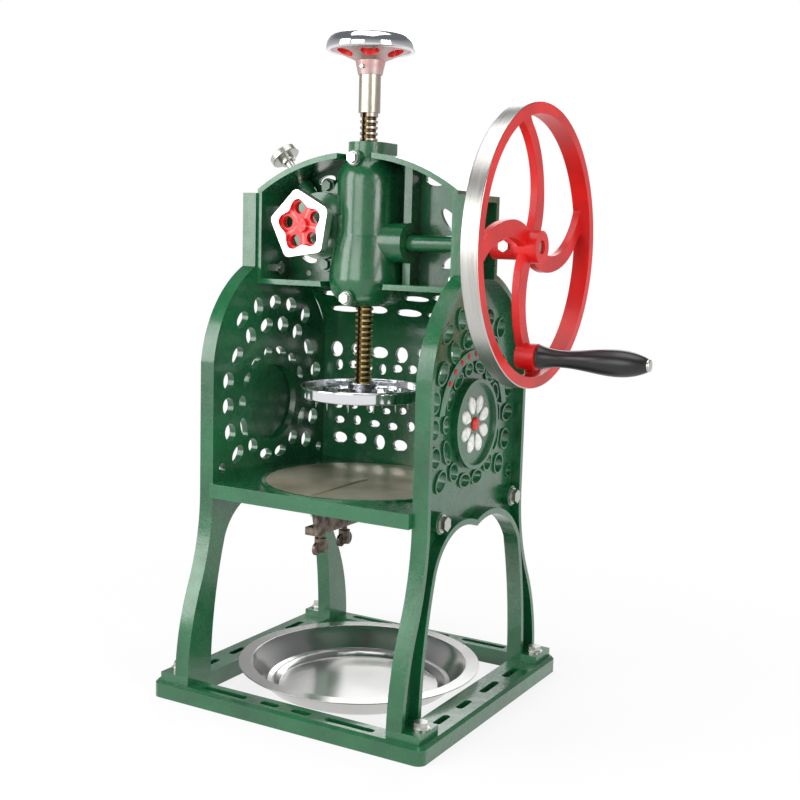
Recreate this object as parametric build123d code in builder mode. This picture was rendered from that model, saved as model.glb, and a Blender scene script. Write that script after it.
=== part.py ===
from build123d import *
import math
import os

os.makedirs("parts", exist_ok=True)

# Hand-cranked ice shaver with a cast iron frame. Millimetres, +Z up.
# The feed screw's axis is X = Y = 0, the surface it stands on is Z = 0, the front faces -Y
# and the flywheel is on the +X side.

# ---------------------------------------------------------------- driving dimensions
# Clearances
run_gap = 0.05  # radial, between a shaft and its bush or a key and its way
fit_gap = 0.05  # radial, between fixed round pieces
bolt_gap = 0.5  # radial, round a bolt in its hole
plate_gap = 0.3  # at the side of the back panel, between the castings
end_gap = 0.1  # between a turning face and the face that carries it

# Fasteners: shank radius, across flats, head height, washer radius and thickness
m8 = 4.0
m8_flats = 13.0
m8_head = 5.3
m8_nut = 6.5
m8_washer = 9.0
m6 = 3.0
m6_flats = 10.0
m6_head = 4.0
m6_washer = 6.5
washer_thick = 1.6

# Base frame
base_width = 326.0
base_front = -145.0
base_back = 172.0
base_height = 18.0
base_side_rail = 38.0
base_end_rail = 24.0
base_corner = 9.0
base_bevel = 3.0
slot_width = 8.0
end_slots = [(-76.0, 56.0), (-19.0, 22.0), (19.0, 22.0), (76.0, 56.0)]  # centre, length along X
side_slots = [(-71.0, 27.0), (-23.0, 26.0), (36.0, 38.0), (89.0, 33.0)]  # centre, length along Y

# Side frames
inner_width = 240.0  # between the two side frames
web_thick = 6.0
flange_depth = 17.0  # from the web's inner face outwards
flange_thick = 6.0
front_y = -100.0  # upright front edge of a side frame
back_y = 114.0
foot_front = -139.0
foot_back = 168.0
knee_z = 215.0  # where the legs start to splay
shoulder_low = 352.0
shoulder_high = 446.0
neck_half = 31.0
frame_top = 530.0
arch_z = 197.0  # lowest point of the apron between the legs
arch_rise = 6.0  # the two lobes beside that point
foot_thick = 8.0
foot_reach = 156.0  # outer edge of the feet, from the middle of the machine
foot_bolt_x = 146.5
foot_bolt_front = -119.0
foot_bolt_back = 146.0
foot_length = 38.0

# Pierced ornament of the side frames
medal_y = 7.0
medal_z = 302.0
medal_radius = 46.0
medal_ring = 4.0
medal_rise = 8.0  # how far the ring stands out of the web
ribbon_low = 66.0  # radii of the plain band over the medallion
ribbon_high = 76.0
ribbon_rise = 3.0
bead_rise = 2.0  # raised edge round each opening
bead_wide = 2.0

# Shelf, ice table, blade
shelf_top = 227.0
shelf_deck = 7.0
shelf_skirt = 15.0
shelf_wall = 7.0
shelf_front = -106.0
table_radius = 101.0
table_thick = 3.0
ring_wide = 4.5
ring_rise = 2.0
blade_slot = 5.0
blade_x = 3.0
blade_from = -98.0  # along Y
blade_to = 8.0
blade_thick = 2.0
blade_high = 22.0
shelf_bolt_z = 213.0
shelf_bolt_front = -66.0
shelf_bolt_back = 96.0
bolt_boss = 11.0  # radius of the bosses under the shelf bolts
bolt_boss_rise = 8.0

# Head casting
head_depth_front = -28.0
head_depth_back = 29.0
head_wall = 5.5
head_plate = 5.0
head_bottom = 434.0
head_side_top = 534.0
head_arch_top = 572.0
head_bolt_low = 451.0
head_bolt_high = 513.0
rib_x = 42.0
rib_wide = 9.0
rib_front = 4.0

# Back panel
panel_inner = 106.0
panel_thick = 5.0
panel_bend = 366.0  # where the panel starts to curve forwards
panel_strip = 18.0  # height of the strip that lies against the head
panel_bottom = 213.0
panel_screw_x = 88.0

# Gear case, on the feed screw's axis
case_bottom = 415.5
case_top = 583.0
case_foot = 20.0  # radius of its underside
case_belly = 38.0
case_belly_z = 445.0
case_waist = 31.0
case_waist_z = 490.0
cap_start = 540.0
cap_shoulder = 566.0
cap_radius = 20.5
case_cut_gap = 0.25  # between the case and the notches of the castings round it
cavity_low = 446.0
cavity_high = 503.0
cavity_radius = 28.5
bush_radius = 19.0  # of the bushes of the drive gear and of the feed nut
bush_ledge = 418.0
nut_bush_top = 525.0
cap_bore = 11.7
shaft_z = 481.5
shaft_radius = 6.5
shaft_end_radius = 4.0  # where the pinion sits
shaft_boss = 20.5
shaft_boss_x = 52.0
shaft_shoulder = 31.5
sleeve_radius = 8.5
bush_wall = 3.0
bush_out = 130.0  # outer end of the bush in the side frame
case_bolts_high = 530.0
case_bolts_low = 441.0
lock_screw_high = 566.0
lock_screw_low = 424.0
lock_boss = 8.0
lock_boss_front_high = 28.5
lock_boss_front_low = 37.0

# Feed screw
screw_radius = 9.3
thread_root = 7.5
thread_pitch = 6.0
thread_low = 334.0
thread_high = 610.0
shank_low = 613.0
shank_radius = 11.2
tail_radius = 6.0  # through the pressure plate
top_radius = 8.0  # in the handwheel
keyway_wide = 5.0
keyway_floor = 6.0

# Bevel gears: the pinion on the crank shaft, the drive gear under it
pinion_teeth = 12
gear_teeth = 30
gear_radius = 25.0
tooth_share = 0.6  # how far along the cone the teeth run, from the apex
addendum = 1.2
dedendum = 1.6
tooth_play = 1.0  # space beside a tooth in its slot
flank = 20.0  # degrees
feed_play = 1.2
gear_hub = 15.0
gear_hub_low = 425.0
gear_disc = 6.5  # thickness of the disc under the teeth
upper_hub = 12.5
pinion_hub = 7.5
pin_radius = 1.25
key_high = 34.0
key_out = 11.5

# Feed nut and the feed gear beside it, crossed helical wheels
nut_teeth = 11
nut_radius = 22.0
nut_hub = 14.0
feed_teeth = 15
feed_radius = 30.0
feed_z = 497.0
nut_face = 6.0
feed_face = 8.0
feed_front = -10.0  # front of the round feed housing
feed_housing_radius = 35.0
feed_wall = 3.2
feed_front_wall = 5.0
lug_radius = 8.0
lug_thick = 8.0
feed_lugs = [(-60.0, 540.0), (-43.0, 537.0), (-61.0, 456.0)]

# Feed knob and brake screw
knob_radius = 38.0
knob_front = -47.0
knob_thick = 11.0
knob_turn = 26.6  # direction of the first corner, degrees
knob_recess = 4.0
knob_corner = 7.0
grub_radius = 2.0
finger_hole = 6.2
finger_circle = 18.0
knob_hub = 14.0
knob_hub_end = -17.0
knob_shaft_radius = 6.0
brake_angle = 130.0  # direction of the brake screw from the feed axis, degrees
brake_y = 13.0
brake_rod = 5.0
brake_boss = 8.5
brake_boss_out = 57.0
shoe_out = 36.0
brake_head_in = 94.0  # distances of its head from the feed axis
brake_head_out = 101.0
brake_head = 16.0
drum_radius = 18.0
drum_back = 20.0
shoe_gap = 0.3

# Flywheel and handle
wheel_front = 198.0
rim_wide = 18.0
rim_radius = 137.0
rim_thick = 11.5
spoke_thick = 8.0
spoke_half = 8.5
spoke_start = 48.0  # degrees, at the hub
spoke_sweep = 0.43  # degrees per millimetre of radius
spoke_flare = 9.0
wheel_hub = 16.0
wheel_boss = 13.0  # the hub's inner part
wheel_screw_x = 165.0
hub_inner_end = 148.0
handle_circle = 106.0
handle_angle = -91.0
handle_pin_radius = 4.5
handle_boss = 13.0
grip_radii = [12.0, 9.0, 13.0, 6.3]  # start, waist, bulb and end of the grip
grip_start = 203.0
grip_length = 108.0

# Pressure plate
plate_radius = 67.0
plate_top = 331.0
plate_low = 318.0
plate_thick = 5.0
plate_wall = 3.5
plate_hub = 16.0
plate_ring = 40.0
plate_nut_flats = 17.0
plate_nut_high = 6.0
spike_length = 10.0
spike_radius = 1.3
spike_circles = [(22.0, 6), (50.0, 12)]

# Handwheel
handwheel_radius = 45.6
handwheel_top = 690.0
handwheel_rim = 16.0
rim_wall = 4.5
handwheel_web = 4.5
handwheel_hub = 15.5
handwheel_screw_z = 658.0
hub_bottom = 651.0
hub_top = 671.5

# Tray
tray_radius = 131.0
tray_high = 29.0
tray_y = 6.0
tray_floor = 88.0
tray_mouth = 118.0
tray_thick = 1.2

# Blade holder and its wing screws
holder_thick = 6.0
holder_low = 188.0
holder_bar = 8.0
wing_places = [-80.0, -35.0]
wing_radius = 3.0
wing_low = 168.0
wing_wide = 26.0

# ---------------------------------------------------------------- values worked out from them
half_inner = inner_width / 2
web_outer = half_inner + web_thick
flange_outer = half_inner + flange_depth
base_mid = (base_front + base_back) / 2
base_depth = base_back - base_front
feed_x = -(nut_radius + feed_radius)
pinion_radius = gear_radius * pinion_teeth / gear_teeth
wheel_back = wheel_front - rim_wide
brake_cos = math.cos(math.radians(brake_angle))
brake_sin = math.sin(math.radians(brake_angle))
handle_y = handle_circle * math.cos(math.radians(handle_angle))
handle_z = shaft_z + handle_circle * math.sin(math.radians(handle_angle))
knob_back = knob_front + knob_thick
plate_y = head_depth_back - head_plate  # the plane where the cases meet the head's back plate
head_inner = half_inner - head_wall
case_bush = shaft_radius + bush_wall  # outer radius of the crank shaft's bushes
shelf_low = shelf_top - shelf_skirt
deck_low = shelf_top - shelf_deck
table_low = shelf_top + ring_rise - table_thick
cone_length = math.hypot(gear_radius, pinion_radius)
tooth_pitch = 2 * math.pi * gear_radius / gear_teeth
gear_low = shaft_z - pinion_radius - dedendum - gear_disc


# ---------------------------------------------------------------- small shared shapes
def hexagon_and_shank(seat, flats, head, radius, length):
    """A bolt: a hexagon standing on the plane, its shank going back through it."""
    with BuildSketch(seat) as hexagon:
        RegularPolygon(radius=flats / 2, side_count=6, major_radius=False)
    extrude(hexagon.sketch, amount=head)
    with BuildSketch(seat) as shank:
        Circle(radius)
    extrude(shank.sketch, amount=-length)


def ring_on(seat, outer, inner, amount):
    """A washer, nut blank or bush standing on the plane."""
    with BuildSketch(seat) as ring:
        Circle(outer)
        Circle(inner, mode=Mode.SUBTRACT)
    extrude(ring.sketch, amount=amount)


def nut_on(seat, flats, inner, amount):
    """A hexagon nut standing on the plane."""
    with BuildSketch(seat) as nut:
        RegularPolygon(radius=flats / 2, side_count=6, major_radius=False)
        Circle(inner, mode=Mode.SUBTRACT)
    extrude(nut.sketch, amount=amount)


def facing(x, y, z, direction):
    """A plane at a point that looks along a direction."""
    return Plane(origin=(x, y, z), z_dir=direction)


def write(name, builder):
    builder.part.label = name
    export_step(builder.part, f"parts/{name}.step")


# ---------------------------------------------------------------- base frame
foot_places = [
    (side * foot_bolt_x, y)
    for side in (-1, 1)
    for y in (foot_bolt_front, foot_bolt_back)
]
nut_pocket = m8_nut + 1.5

with BuildPart() as base_frame:
    with BuildSketch(Plane((0, base_mid, 0))):
        RectangleRounded(base_width, base_depth, base_corner)
        Rectangle(
            base_width - 2 * base_side_rail,
            base_depth - 2 * base_end_rail,
            mode=Mode.SUBTRACT,
        )
    extrude(amount=base_height)
    top_edges = base_frame.faces().sort_by(Axis.Z)[-1].outer_wire().edges()
    chamfer(top_edges, length=base_bevel)
    with BuildSketch(Plane.XY):
        for x, length in end_slots:
            for y in (base_front + base_end_rail / 2, base_back - base_end_rail / 2):
                with Locations((x, y)):
                    SlotOverall(length, slot_width)
        for y, length in side_slots:
            for side in (-1, 1):
                with Locations((side * (base_width - base_side_rail) / 2, y)):
                    SlotOverall(length, slot_width, rotation=90)
    extrude(amount=base_height, mode=Mode.SUBTRACT)
    with BuildSketch(Plane.XY):
        with Locations(*foot_places):
            Circle(m8 + bolt_gap)
    extrude(amount=base_height, mode=Mode.SUBTRACT)
    with BuildSketch(Plane.XY):
        with Locations(*foot_places):
            Circle(m8_washer)
    extrude(amount=nut_pocket, mode=Mode.SUBTRACT)
write("base_frame", base_frame)

# ---------------------------------------------------------------- side frames
leg_rise = knee_z - base_height
bend_at = 0.52  # share of a leg's rise at which its splay turns back
arch_wall_z = 0.82 * (arch_z - base_height) + base_height
arch_lean = 22.0  # how far the arch has come in at that height
lobe_y = 31.0  # the lobes of the apron, before and behind its lowest point


def splayed_edge(foot_y, wall_y):
    """The outer edge of a leg: two arcs that leave the foot and meet the wall upright."""
    turn = (foot_y + (wall_y - foot_y) * bend_at, base_height + leg_rise * bend_at)
    TangentArc((foot_y, base_height), turn, tangent=(0, 1))
    TangentArc((wall_y, knee_z), turn, tangent=(0, -1))


def arch_edge(foot_y, side):
    """Half of the opening between the legs: up the leg, over a lobe, down to the middle."""
    lobe = (medal_y + side * lobe_y, arch_z + arch_rise)
    wall = (foot_y - side * arch_lean, arch_wall_z)
    TangentArc((foot_y, base_height), wall, tangent=(0, 1))
    TangentArc(lobe, wall, tangent=(side, 0))
    TangentArc(lobe, (medal_y, arch_z), tangent=(-side, 0))


def frame_outline():
    """The side frame seen from the side, as lines in a sketch plane of Y and Z."""
    neck_z = shoulder_high + 6.0
    shoulder_z = (shoulder_low + shoulder_high) / 2 + 9.0
    for side, wall_y, foot_y in ((-1, front_y, foot_front), (1, back_y, foot_back)):
        splayed_edge(foot_y, wall_y)
        Line((wall_y, knee_z), (wall_y, shoulder_low))
        ThreePointArc(
            (wall_y, shoulder_low), (wall_y * 0.8, shoulder_z), (side * neck_half, neck_z)
        )
        Line((side * neck_half, neck_z), (side * neck_half, frame_top))
        arch_edge(foot_y - side * foot_length, side)
        Line((foot_y, base_height), (foot_y - side * foot_length, base_height))
    Line((-neck_half, frame_top), (neck_half, frame_top))


def pebbles():
    """Centre, size and tilt of each opening of the ornament, in rings round the medallion."""
    rings = [
        # radius, first and last angle, openings, width, height
        (57.5, 5.0, 175.0, 8, 17.0, 10.0),
        (58.5, 203.0, 337.0, 6, 20.0, 13.0),
        (87.0, 20.0, 160.0, 8, 20.0, 17.0),
        (82.0, -38.0, 2.0, 3, 18.0, 19.0),
        (82.0, 178.0, 218.0, 3, 18.0, 19.0),
        (111.0, 58.0, 122.0, 5, 19.0, 17.0),
    ]
    for radius, first, last, count, wide, high in rings:
        for i in range(count):
            angle = first + (last - first) * i / (count - 1)
            stretch = 1.0 + 0.16 * math.sin(2.4 * i + radius)
            y = medal_y + radius * math.cos(math.radians(angle))
            z = medal_z + radius * math.sin(math.radians(angle))
            yield y, z, wide * stretch, high / stretch, angle - 90.0 + 8.0 * math.sin(3.7 * i)
    for y in (-84.0, 98.0):
        yield y, 240.0, 11.0, 11.0, 45.0


with BuildPart() as plain_frame:
    inner_plane = Plane.YZ.offset(half_inner)
    with BuildSketch(inner_plane):
        with BuildLine():
            frame_outline()
        make_face()
    extrude(amount=flange_depth)
    # the channel between the flanges, open to the outside
    with BuildSketch(Plane.YZ.offset(web_outer)):
        with BuildLine():
            frame_outline()
        make_face()
        offset(amount=-flange_thick, kind=Kind.INTERSECTION, mode=Mode.REPLACE)
    extrude(amount=flange_depth, mode=Mode.SUBTRACT)
    # feet with their bolt tabs
    with BuildSketch(Plane.XY.offset(base_height)):
        for y in (foot_front + foot_length / 2, foot_back - foot_length / 2):
            with Locations(((half_inner + foot_reach) / 2, y)):
                Rectangle(foot_reach - half_inner, foot_length)
    extrude(amount=foot_thick)
    # raised edges round the openings, the medallion and the plain ribbon
    with BuildSketch(Plane.YZ.offset(web_outer)):
        for y, z, wide, high, tilt in pebbles():
            with Locations((y, z)):
                Ellipse(wide / 2 + bead_wide, high / 2 + bead_wide, rotation=tilt)
    extrude(amount=bead_rise)
    with BuildSketch(Plane.YZ.offset(web_outer)):
        with Locations((medal_y, medal_z)):
            Circle(medal_radius)
    extrude(amount=medal_rise)
    with BuildSketch(Plane.YZ.offset(web_outer + medal_rise)):
        with Locations((medal_y, medal_z)):
            Circle(medal_radius - medal_ring)
    extrude(amount=-medal_ring, taper=12, mode=Mode.SUBTRACT)
    with BuildSketch(inner_plane):
        with Locations((medal_y, medal_z)):
            Circle(medal_radius - medal_ring)
    extrude(amount=web_thick, taper=20, mode=Mode.SUBTRACT)
    with BuildSketch(Plane.YZ.offset(web_outer)):
        with Locations((medal_y, medal_z)):
            Circle(ribbon_high)
            Circle(ribbon_low, mode=Mode.SUBTRACT)
            with Locations((0, -ribbon_high)):
                Rectangle(2 * ribbon_high, 2 * ribbon_high + 30.0, mode=Mode.SUBTRACT)
    extrude(amount=ribbon_rise)
    # the openings themselves
    with BuildSketch(inner_plane):
        for y, z, wide, high, tilt in pebbles():
            with Locations((y, z)):
                Ellipse(wide / 2, high / 2, rotation=tilt)
    extrude(amount=flange_depth, mode=Mode.SUBTRACT)
    # bosses under the shelf bolts
    with BuildSketch(Plane.YZ.offset(web_outer)):
        with Locations((shelf_bolt_front, shelf_bolt_z), (shelf_bolt_back, shelf_bolt_z)):
            Circle(bolt_boss)
    extrude(amount=bolt_boss_rise)
    with BuildSketch(inner_plane):
        with Locations((shelf_bolt_front, shelf_bolt_z), (shelf_bolt_back, shelf_bolt_z)):
            Circle(m8 + bolt_gap)
        with Locations((0, head_bolt_low), (0, head_bolt_high)):
            Circle(m8 + bolt_gap)
    extrude(amount=flange_depth, mode=Mode.SUBTRACT)
    with BuildSketch(Plane.XY.offset(base_height)):
        with Locations((foot_bolt_x, foot_bolt_front), (foot_bolt_x, foot_bolt_back)):
            Circle(m8 + bolt_gap)
    extrude(amount=foot_thick, mode=Mode.SUBTRACT)

with BuildPart() as side_frame_left:
    add(mirror(plain_frame.part, about=Plane.YZ))
write("side_frame_left", side_frame_left)

# the right one also carries the crank shaft
with BuildPart() as side_frame_right:
    add(plain_frame.part)
    with BuildSketch(inner_plane):
        with Locations((0, shaft_z)):
            Circle(case_bush + fit_gap)
    extrude(amount=flange_depth, mode=Mode.SUBTRACT)
write("side_frame_right", side_frame_right)

# ---------------------------------------------------------------- bolts of the feet
foot_top = base_height + foot_thick

with BuildPart() as foot_washers:
    for x, y in foot_places:
        ring_on(Plane((x, y, foot_top)), m8_washer, m8 + bolt_gap / 2, washer_thick)
write("foot_washers", foot_washers)

with BuildPart() as foot_bolts:
    for x, y in foot_places:
        seat = Plane((x, y, foot_top + washer_thick))
        hexagon_and_shank(seat, m8_flats, m8_head, m8, foot_top + washer_thick - end_gap)
write("foot_bolts", foot_bolts)

with BuildPart() as foot_nuts:
    for x, y in foot_places:
        nut_on(Plane((x, y, nut_pocket - m8_nut)), m8_flats, m8 + fit_gap, m8_nut)
write("foot_nuts", foot_nuts)

# ---------------------------------------------------------------- shelf
shelf_bolts_at = [(side, y) for side in (-1, 1) for y in (shelf_bolt_front, shelf_bolt_back)]
shelf_depth = panel_inner - shelf_front
shelf_mid = (panel_inner + shelf_front) / 2
panel_screws_low = (panel_bottom + shelf_top) / 2

with BuildPart() as shelf:
    with BuildSketch(Plane((0, shelf_mid, shelf_low))):
        Rectangle(inner_width, shelf_depth)
    extrude(amount=shelf_skirt)
    with BuildSketch(Plane((0, shelf_mid, shelf_low))):
        Rectangle(inner_width - 2 * shelf_wall, shelf_depth - 2 * shelf_wall)
    extrude(amount=shelf_skirt - shelf_deck, mode=Mode.SUBTRACT)
    # lugs for the bolts of the side frames
    for side, y in shelf_bolts_at:
        with BuildSketch(facing(side * half_inner, y, shelf_bolt_z, (-side, 0, 0))):
            Rectangle(2 * m8_washer, 2 * m8_washer)
        extrude(amount=2 * shelf_wall)
    # the raised ring round the ice table, and the table's seat
    with BuildSketch(Plane.XY.offset(shelf_top)):
        Circle(table_radius + ring_wide)
    extrude(amount=ring_rise)
    with BuildSketch(Plane.XY.offset(table_low)):
        Circle(table_radius + run_gap)
    extrude(amount=table_thick, mode=Mode.SUBTRACT)
    with BuildSketch(Plane((blade_x, (blade_from + blade_to) / 2, deck_low))):
        Rectangle(blade_slot, blade_to - blade_from)
    extrude(amount=shelf_deck, mode=Mode.SUBTRACT)
    for side, y in shelf_bolts_at:
        with BuildSketch(facing(side * half_inner, y, shelf_bolt_z, (-side, 0, 0))):
            Circle(m8 + fit_gap)
        extrude(amount=3 * shelf_wall, mode=Mode.SUBTRACT)
    for x in (-panel_screw_x, panel_screw_x):
        with BuildSketch(facing(x, panel_inner, panel_screws_low, (0, -1, 0))):
            Circle(m6 + fit_gap)
        extrude(amount=shelf_wall + 1.0, mode=Mode.SUBTRACT)
write("shelf", shelf)

boss_face = web_outer + bolt_boss_rise

with BuildPart() as shelf_washers:
    for side, y in shelf_bolts_at:
        seat = facing(side * boss_face, y, shelf_bolt_z, (side, 0, 0))
        ring_on(seat, m8_washer, m8 + bolt_gap / 2, washer_thick)
write("shelf_washers", shelf_washers)

with BuildPart() as shelf_bolts:
    for side, y in shelf_bolts_at:
        seat = facing(side * (boss_face + washer_thick), y, shelf_bolt_z, (side, 0, 0))
        length = boss_face + washer_thick - half_inner + 2 * shelf_wall
        hexagon_and_shank(seat, m8_flats, m8_head, m8, length)
write("shelf_bolts", shelf_bolts)

# ---------------------------------------------------------------- ice table and blade
with BuildPart() as table_plate:
    with BuildSketch(Plane.XY.offset(table_low)):
        Circle(table_radius)
        with Locations((blade_x, (blade_from + blade_to) / 2)):
            Rectangle(blade_slot, blade_to - blade_from, mode=Mode.SUBTRACT)
    extrude(amount=table_thick)
write("table_plate", table_plate)

blade_top = shelf_top + ring_rise + 0.5
blade_low = blade_top - blade_high
blade_mid = (blade_from + blade_to) / 2
blade_length = blade_to - blade_from - 2 * plate_gap

with BuildPart() as blade:
    with BuildSketch(Plane.XZ.offset(-blade_mid)):
        with BuildLine():
            Polyline(
                (blade_x - blade_thick / 2, blade_low),
                (blade_x + blade_thick / 2, blade_low),
                (blade_x + blade_thick / 2, blade_top),
                (blade_x - blade_thick / 2, blade_top - blade_thick),
                close=True,
            )
        make_face()
    extrude(amount=blade_length / 2, both=True)
write("blade", blade)

# the holder hangs under the shelf behind the blade; its bar carries the wing screws
with BuildPart() as blade_holder:
    back = blade_x + blade_thick / 2
    front = blade_x - blade_thick / 2 - holder_thick
    with BuildSketch(Plane.XZ.offset(-blade_mid)):
        with BuildLine():
            Polyline(
                (front, holder_low),
                (back + holder_thick, holder_low),
                (back + holder_thick, deck_low),
                (back, deck_low),
                (back, blade_low + 1.0),
                (blade_x + wing_radius + plate_gap, blade_low + 1.0),
                (blade_x + wing_radius + plate_gap, holder_low + holder_bar),
                (front, holder_low + holder_bar),
                close=True,
            )
        make_face()
    extrude(amount=blade_length / 2, both=True)
    with BuildSketch(Plane.XY.offset(holder_low)):
        with Locations(*[(blade_x, y) for y in wing_places]):
            Circle(wing_radius + run_gap)
    extrude(amount=holder_bar, mode=Mode.SUBTRACT)
write("blade_holder", blade_holder)


def wing_screw(y):
    """A wing screw that stands upright under the blade."""
    with BuildSketch(Plane((blade_x, y, wing_low))) as shank:
        Circle(wing_radius)
    extrude(shank.sketch, amount=blade_low - shoe_gap - wing_low)
    with BuildSketch(Plane((blade_x, y, wing_low))) as collar:
        Circle(wing_radius * 2)
    extrude(collar.sketch, amount=(holder_low - wing_low) * 0.7)
    with BuildSketch(Plane(origin=(blade_x, y, wing_low), x_dir=(0, 1, 0), z_dir=(1, 0, 0))) as wings:
        for side in (-1, 1):
            with Locations((side * wing_wide / 4, 4.0)):
                Ellipse(wing_wide / 4, 6.5, rotation=-side * 20)
    extrude(wings.sketch, amount=1.5, both=True)


with BuildPart() as wing_screw_front:
    wing_screw(wing_places[0])
write("wing_screw_front", wing_screw_front)

with BuildPart() as wing_screw_rear:
    wing_screw(wing_places[1])
write("wing_screw_rear", wing_screw_rear)

# ---------------------------------------------------------------- gear case


def case_edge(grow):
    """The gear case's outer edge, from its axis at the bottom round to its axis at the top."""
    low = case_bottom - grow
    high = case_top + grow
    belly = case_belly + grow
    waist = case_waist + grow
    cap = cap_radius + grow
    foot = case_foot + grow
    Polyline((0, high), (0, low), (foot, low))
    ThreePointArc((foot, low), (belly - 4.5, case_belly_z - 18.0), (belly, case_belly_z))
    ThreePointArc(
        (belly, case_belly_z),
        ((belly + waist) / 2 + 1.0, (case_belly_z + case_waist_z) / 2),
        (waist, case_waist_z),
    )
    Line((waist, case_waist_z), (waist, cap_start))
    ThreePointArc((waist, cap_start), (waist - 3.5, cap_shoulder - 9.0), (cap, cap_shoulder))
    Polyline((cap, cap_shoulder), (cap, high), (0, high))


def case_body(grow):
    """The case: half a turned body in front, drawn straight back to the head's back plate."""
    with BuildSketch(Plane.XZ) as half:
        with BuildLine():
            case_edge(grow)
        make_face()
    revolve(half.sketch, axis=Axis.Z, revolution_arc=-180)
    with BuildSketch(Plane.XZ) as whole:
        with BuildLine():
            case_edge(grow)
        make_face()
        mirror(about=Plane.YZ)
    extrude(whole.sketch, amount=-plate_y)


with BuildPart() as case_envelope:
    case_body(case_cut_gap)

# the way by which the case goes into the head from the front
with BuildPart() as case_notch:
    with BuildSketch(Plane.XZ):
        with BuildLine():
            case_edge(case_cut_gap)
        make_face()
        mirror(about=Plane.YZ)
    extrude(amount=-plate_y)
    with BuildSketch(Plane.XZ):
        with BuildLine():
            case_edge(case_cut_gap)
        make_face()
        mirror(about=Plane.YZ)
    extrude(amount=2 * case_belly)
    with BuildSketch(Plane.YZ):
        with Locations((0, shaft_z)):
            Circle(shaft_boss + case_cut_gap)
    extrude(amount=shaft_boss_x)
    with BuildSketch(Plane.XY.offset(gear_low - 1.0)):
        Circle(gear_radius + 1.5)
    extrude(amount=cavity_high - gear_low)

case_bolts_at = [
    (side * x, z)
    for side in (-1, 1)
    for x, z in ((case_waist - m6_washer, case_bolts_high), (case_belly - 11.0, case_bolts_low))
]

with BuildPart() as gear_case:
    case_body(0)
    # the boss of the crank shaft and the bosses of the two lock screws
    with BuildSketch(Plane.YZ.offset(case_foot)):
        with Locations((0, shaft_z)):
            Circle(shaft_boss)
    extrude(amount=shaft_boss_x - case_foot)
    for z, front in ((lock_screw_high, lock_boss_front_high), (lock_screw_low, lock_boss_front_low)):
        with BuildSketch(Plane.XZ.offset(cap_bore)):
            with Locations((0, z)):
                Circle(lock_boss)
        extrude(amount=front - cap_bore)
    # inside: room for the gears, seats of the two bushes, bore of the shank
    with BuildSketch(Plane.XZ):
        with BuildLine():
            Polyline(
                (0, case_bottom),
                (upper_hub, case_bottom),
                (upper_hub, bush_ledge),
                (bush_radius + fit_gap, bush_ledge),
                (bush_radius + fit_gap, cavity_low),
                (cavity_radius, cavity_low),
                (cavity_radius, cavity_high),
                (bush_radius + fit_gap, cavity_high),
                (bush_radius + fit_gap, nut_bush_top),
                (cap_bore, nut_bush_top),
                (cap_bore, case_top),
                (0, case_top),
                close=True,
            )
        make_face()
    revolve(axis=Axis.Z, mode=Mode.SUBTRACT)
    with BuildSketch(Plane.YZ):
        with Locations((0, shaft_z)):
            Circle(case_bush + fit_gap)
    extrude(amount=shaft_boss_x, mode=Mode.SUBTRACT)
    # the window through which the feed gear meets the feed nut
    with BuildSketch(Plane.XZ.offset(feed_face / 2 + 1.5)):
        with Locations((-case_waist, feed_z)):
            Rectangle(2 * (case_waist - nut_radius + addendum), 2 * (feed_radius - 0.5))
    extrude(amount=-feed_face - 3.0, mode=Mode.SUBTRACT)
    # holes of the bolts from behind and of the lock screws
    with BuildSketch(Plane.XZ.offset(-plate_y)):
        with Locations(*case_bolts_at):
            Circle(m6 + fit_gap)
    extrude(amount=10.0, mode=Mode.SUBTRACT)
    with BuildSketch(Plane.XZ.offset(cap_bore - 1.0)):
        with Locations((0, lock_screw_high), (0, lock_screw_low)):
            Circle(m6 + fit_gap)
    extrude(amount=lock_boss_front_low, mode=Mode.SUBTRACT)
write("gear_case", gear_case)

with BuildPart() as case_bolts:
    for x, z in case_bolts_at:
        seat = facing(x, head_depth_back, z, (0, 1, 0))
        hexagon_and_shank(seat, m6_flats, m6_head, m6, head_plate + 9.0)
write("case_bolts", case_bolts)

lock_screws_at = [
    (lock_screw_high, lock_boss_front_high, cap_bore + 1.0),
    (lock_screw_low, lock_boss_front_low, bush_radius + 2 * fit_gap),
]

with BuildPart() as bush_lock_washers:
    for z, front, reach in lock_screws_at:
        ring_on(facing(0, -front, z, (0, -1, 0)), m6_washer, m6 + bolt_gap / 2, washer_thick)
write("bush_lock_washers", bush_lock_washers)

with BuildPart() as bush_lock_screws:
    for z, front, reach in lock_screws_at:
        seat = facing(0, -front - washer_thick, z, (0, -1, 0))
        hexagon_and_shank(seat, m6_flats, m6_head, m6, front + washer_thick - reach)
write("bush_lock_screws", bush_lock_screws)

# ---------------------------------------------------------------- feed housing
brake_line = (brake_cos, 0, brake_sin)

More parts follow.
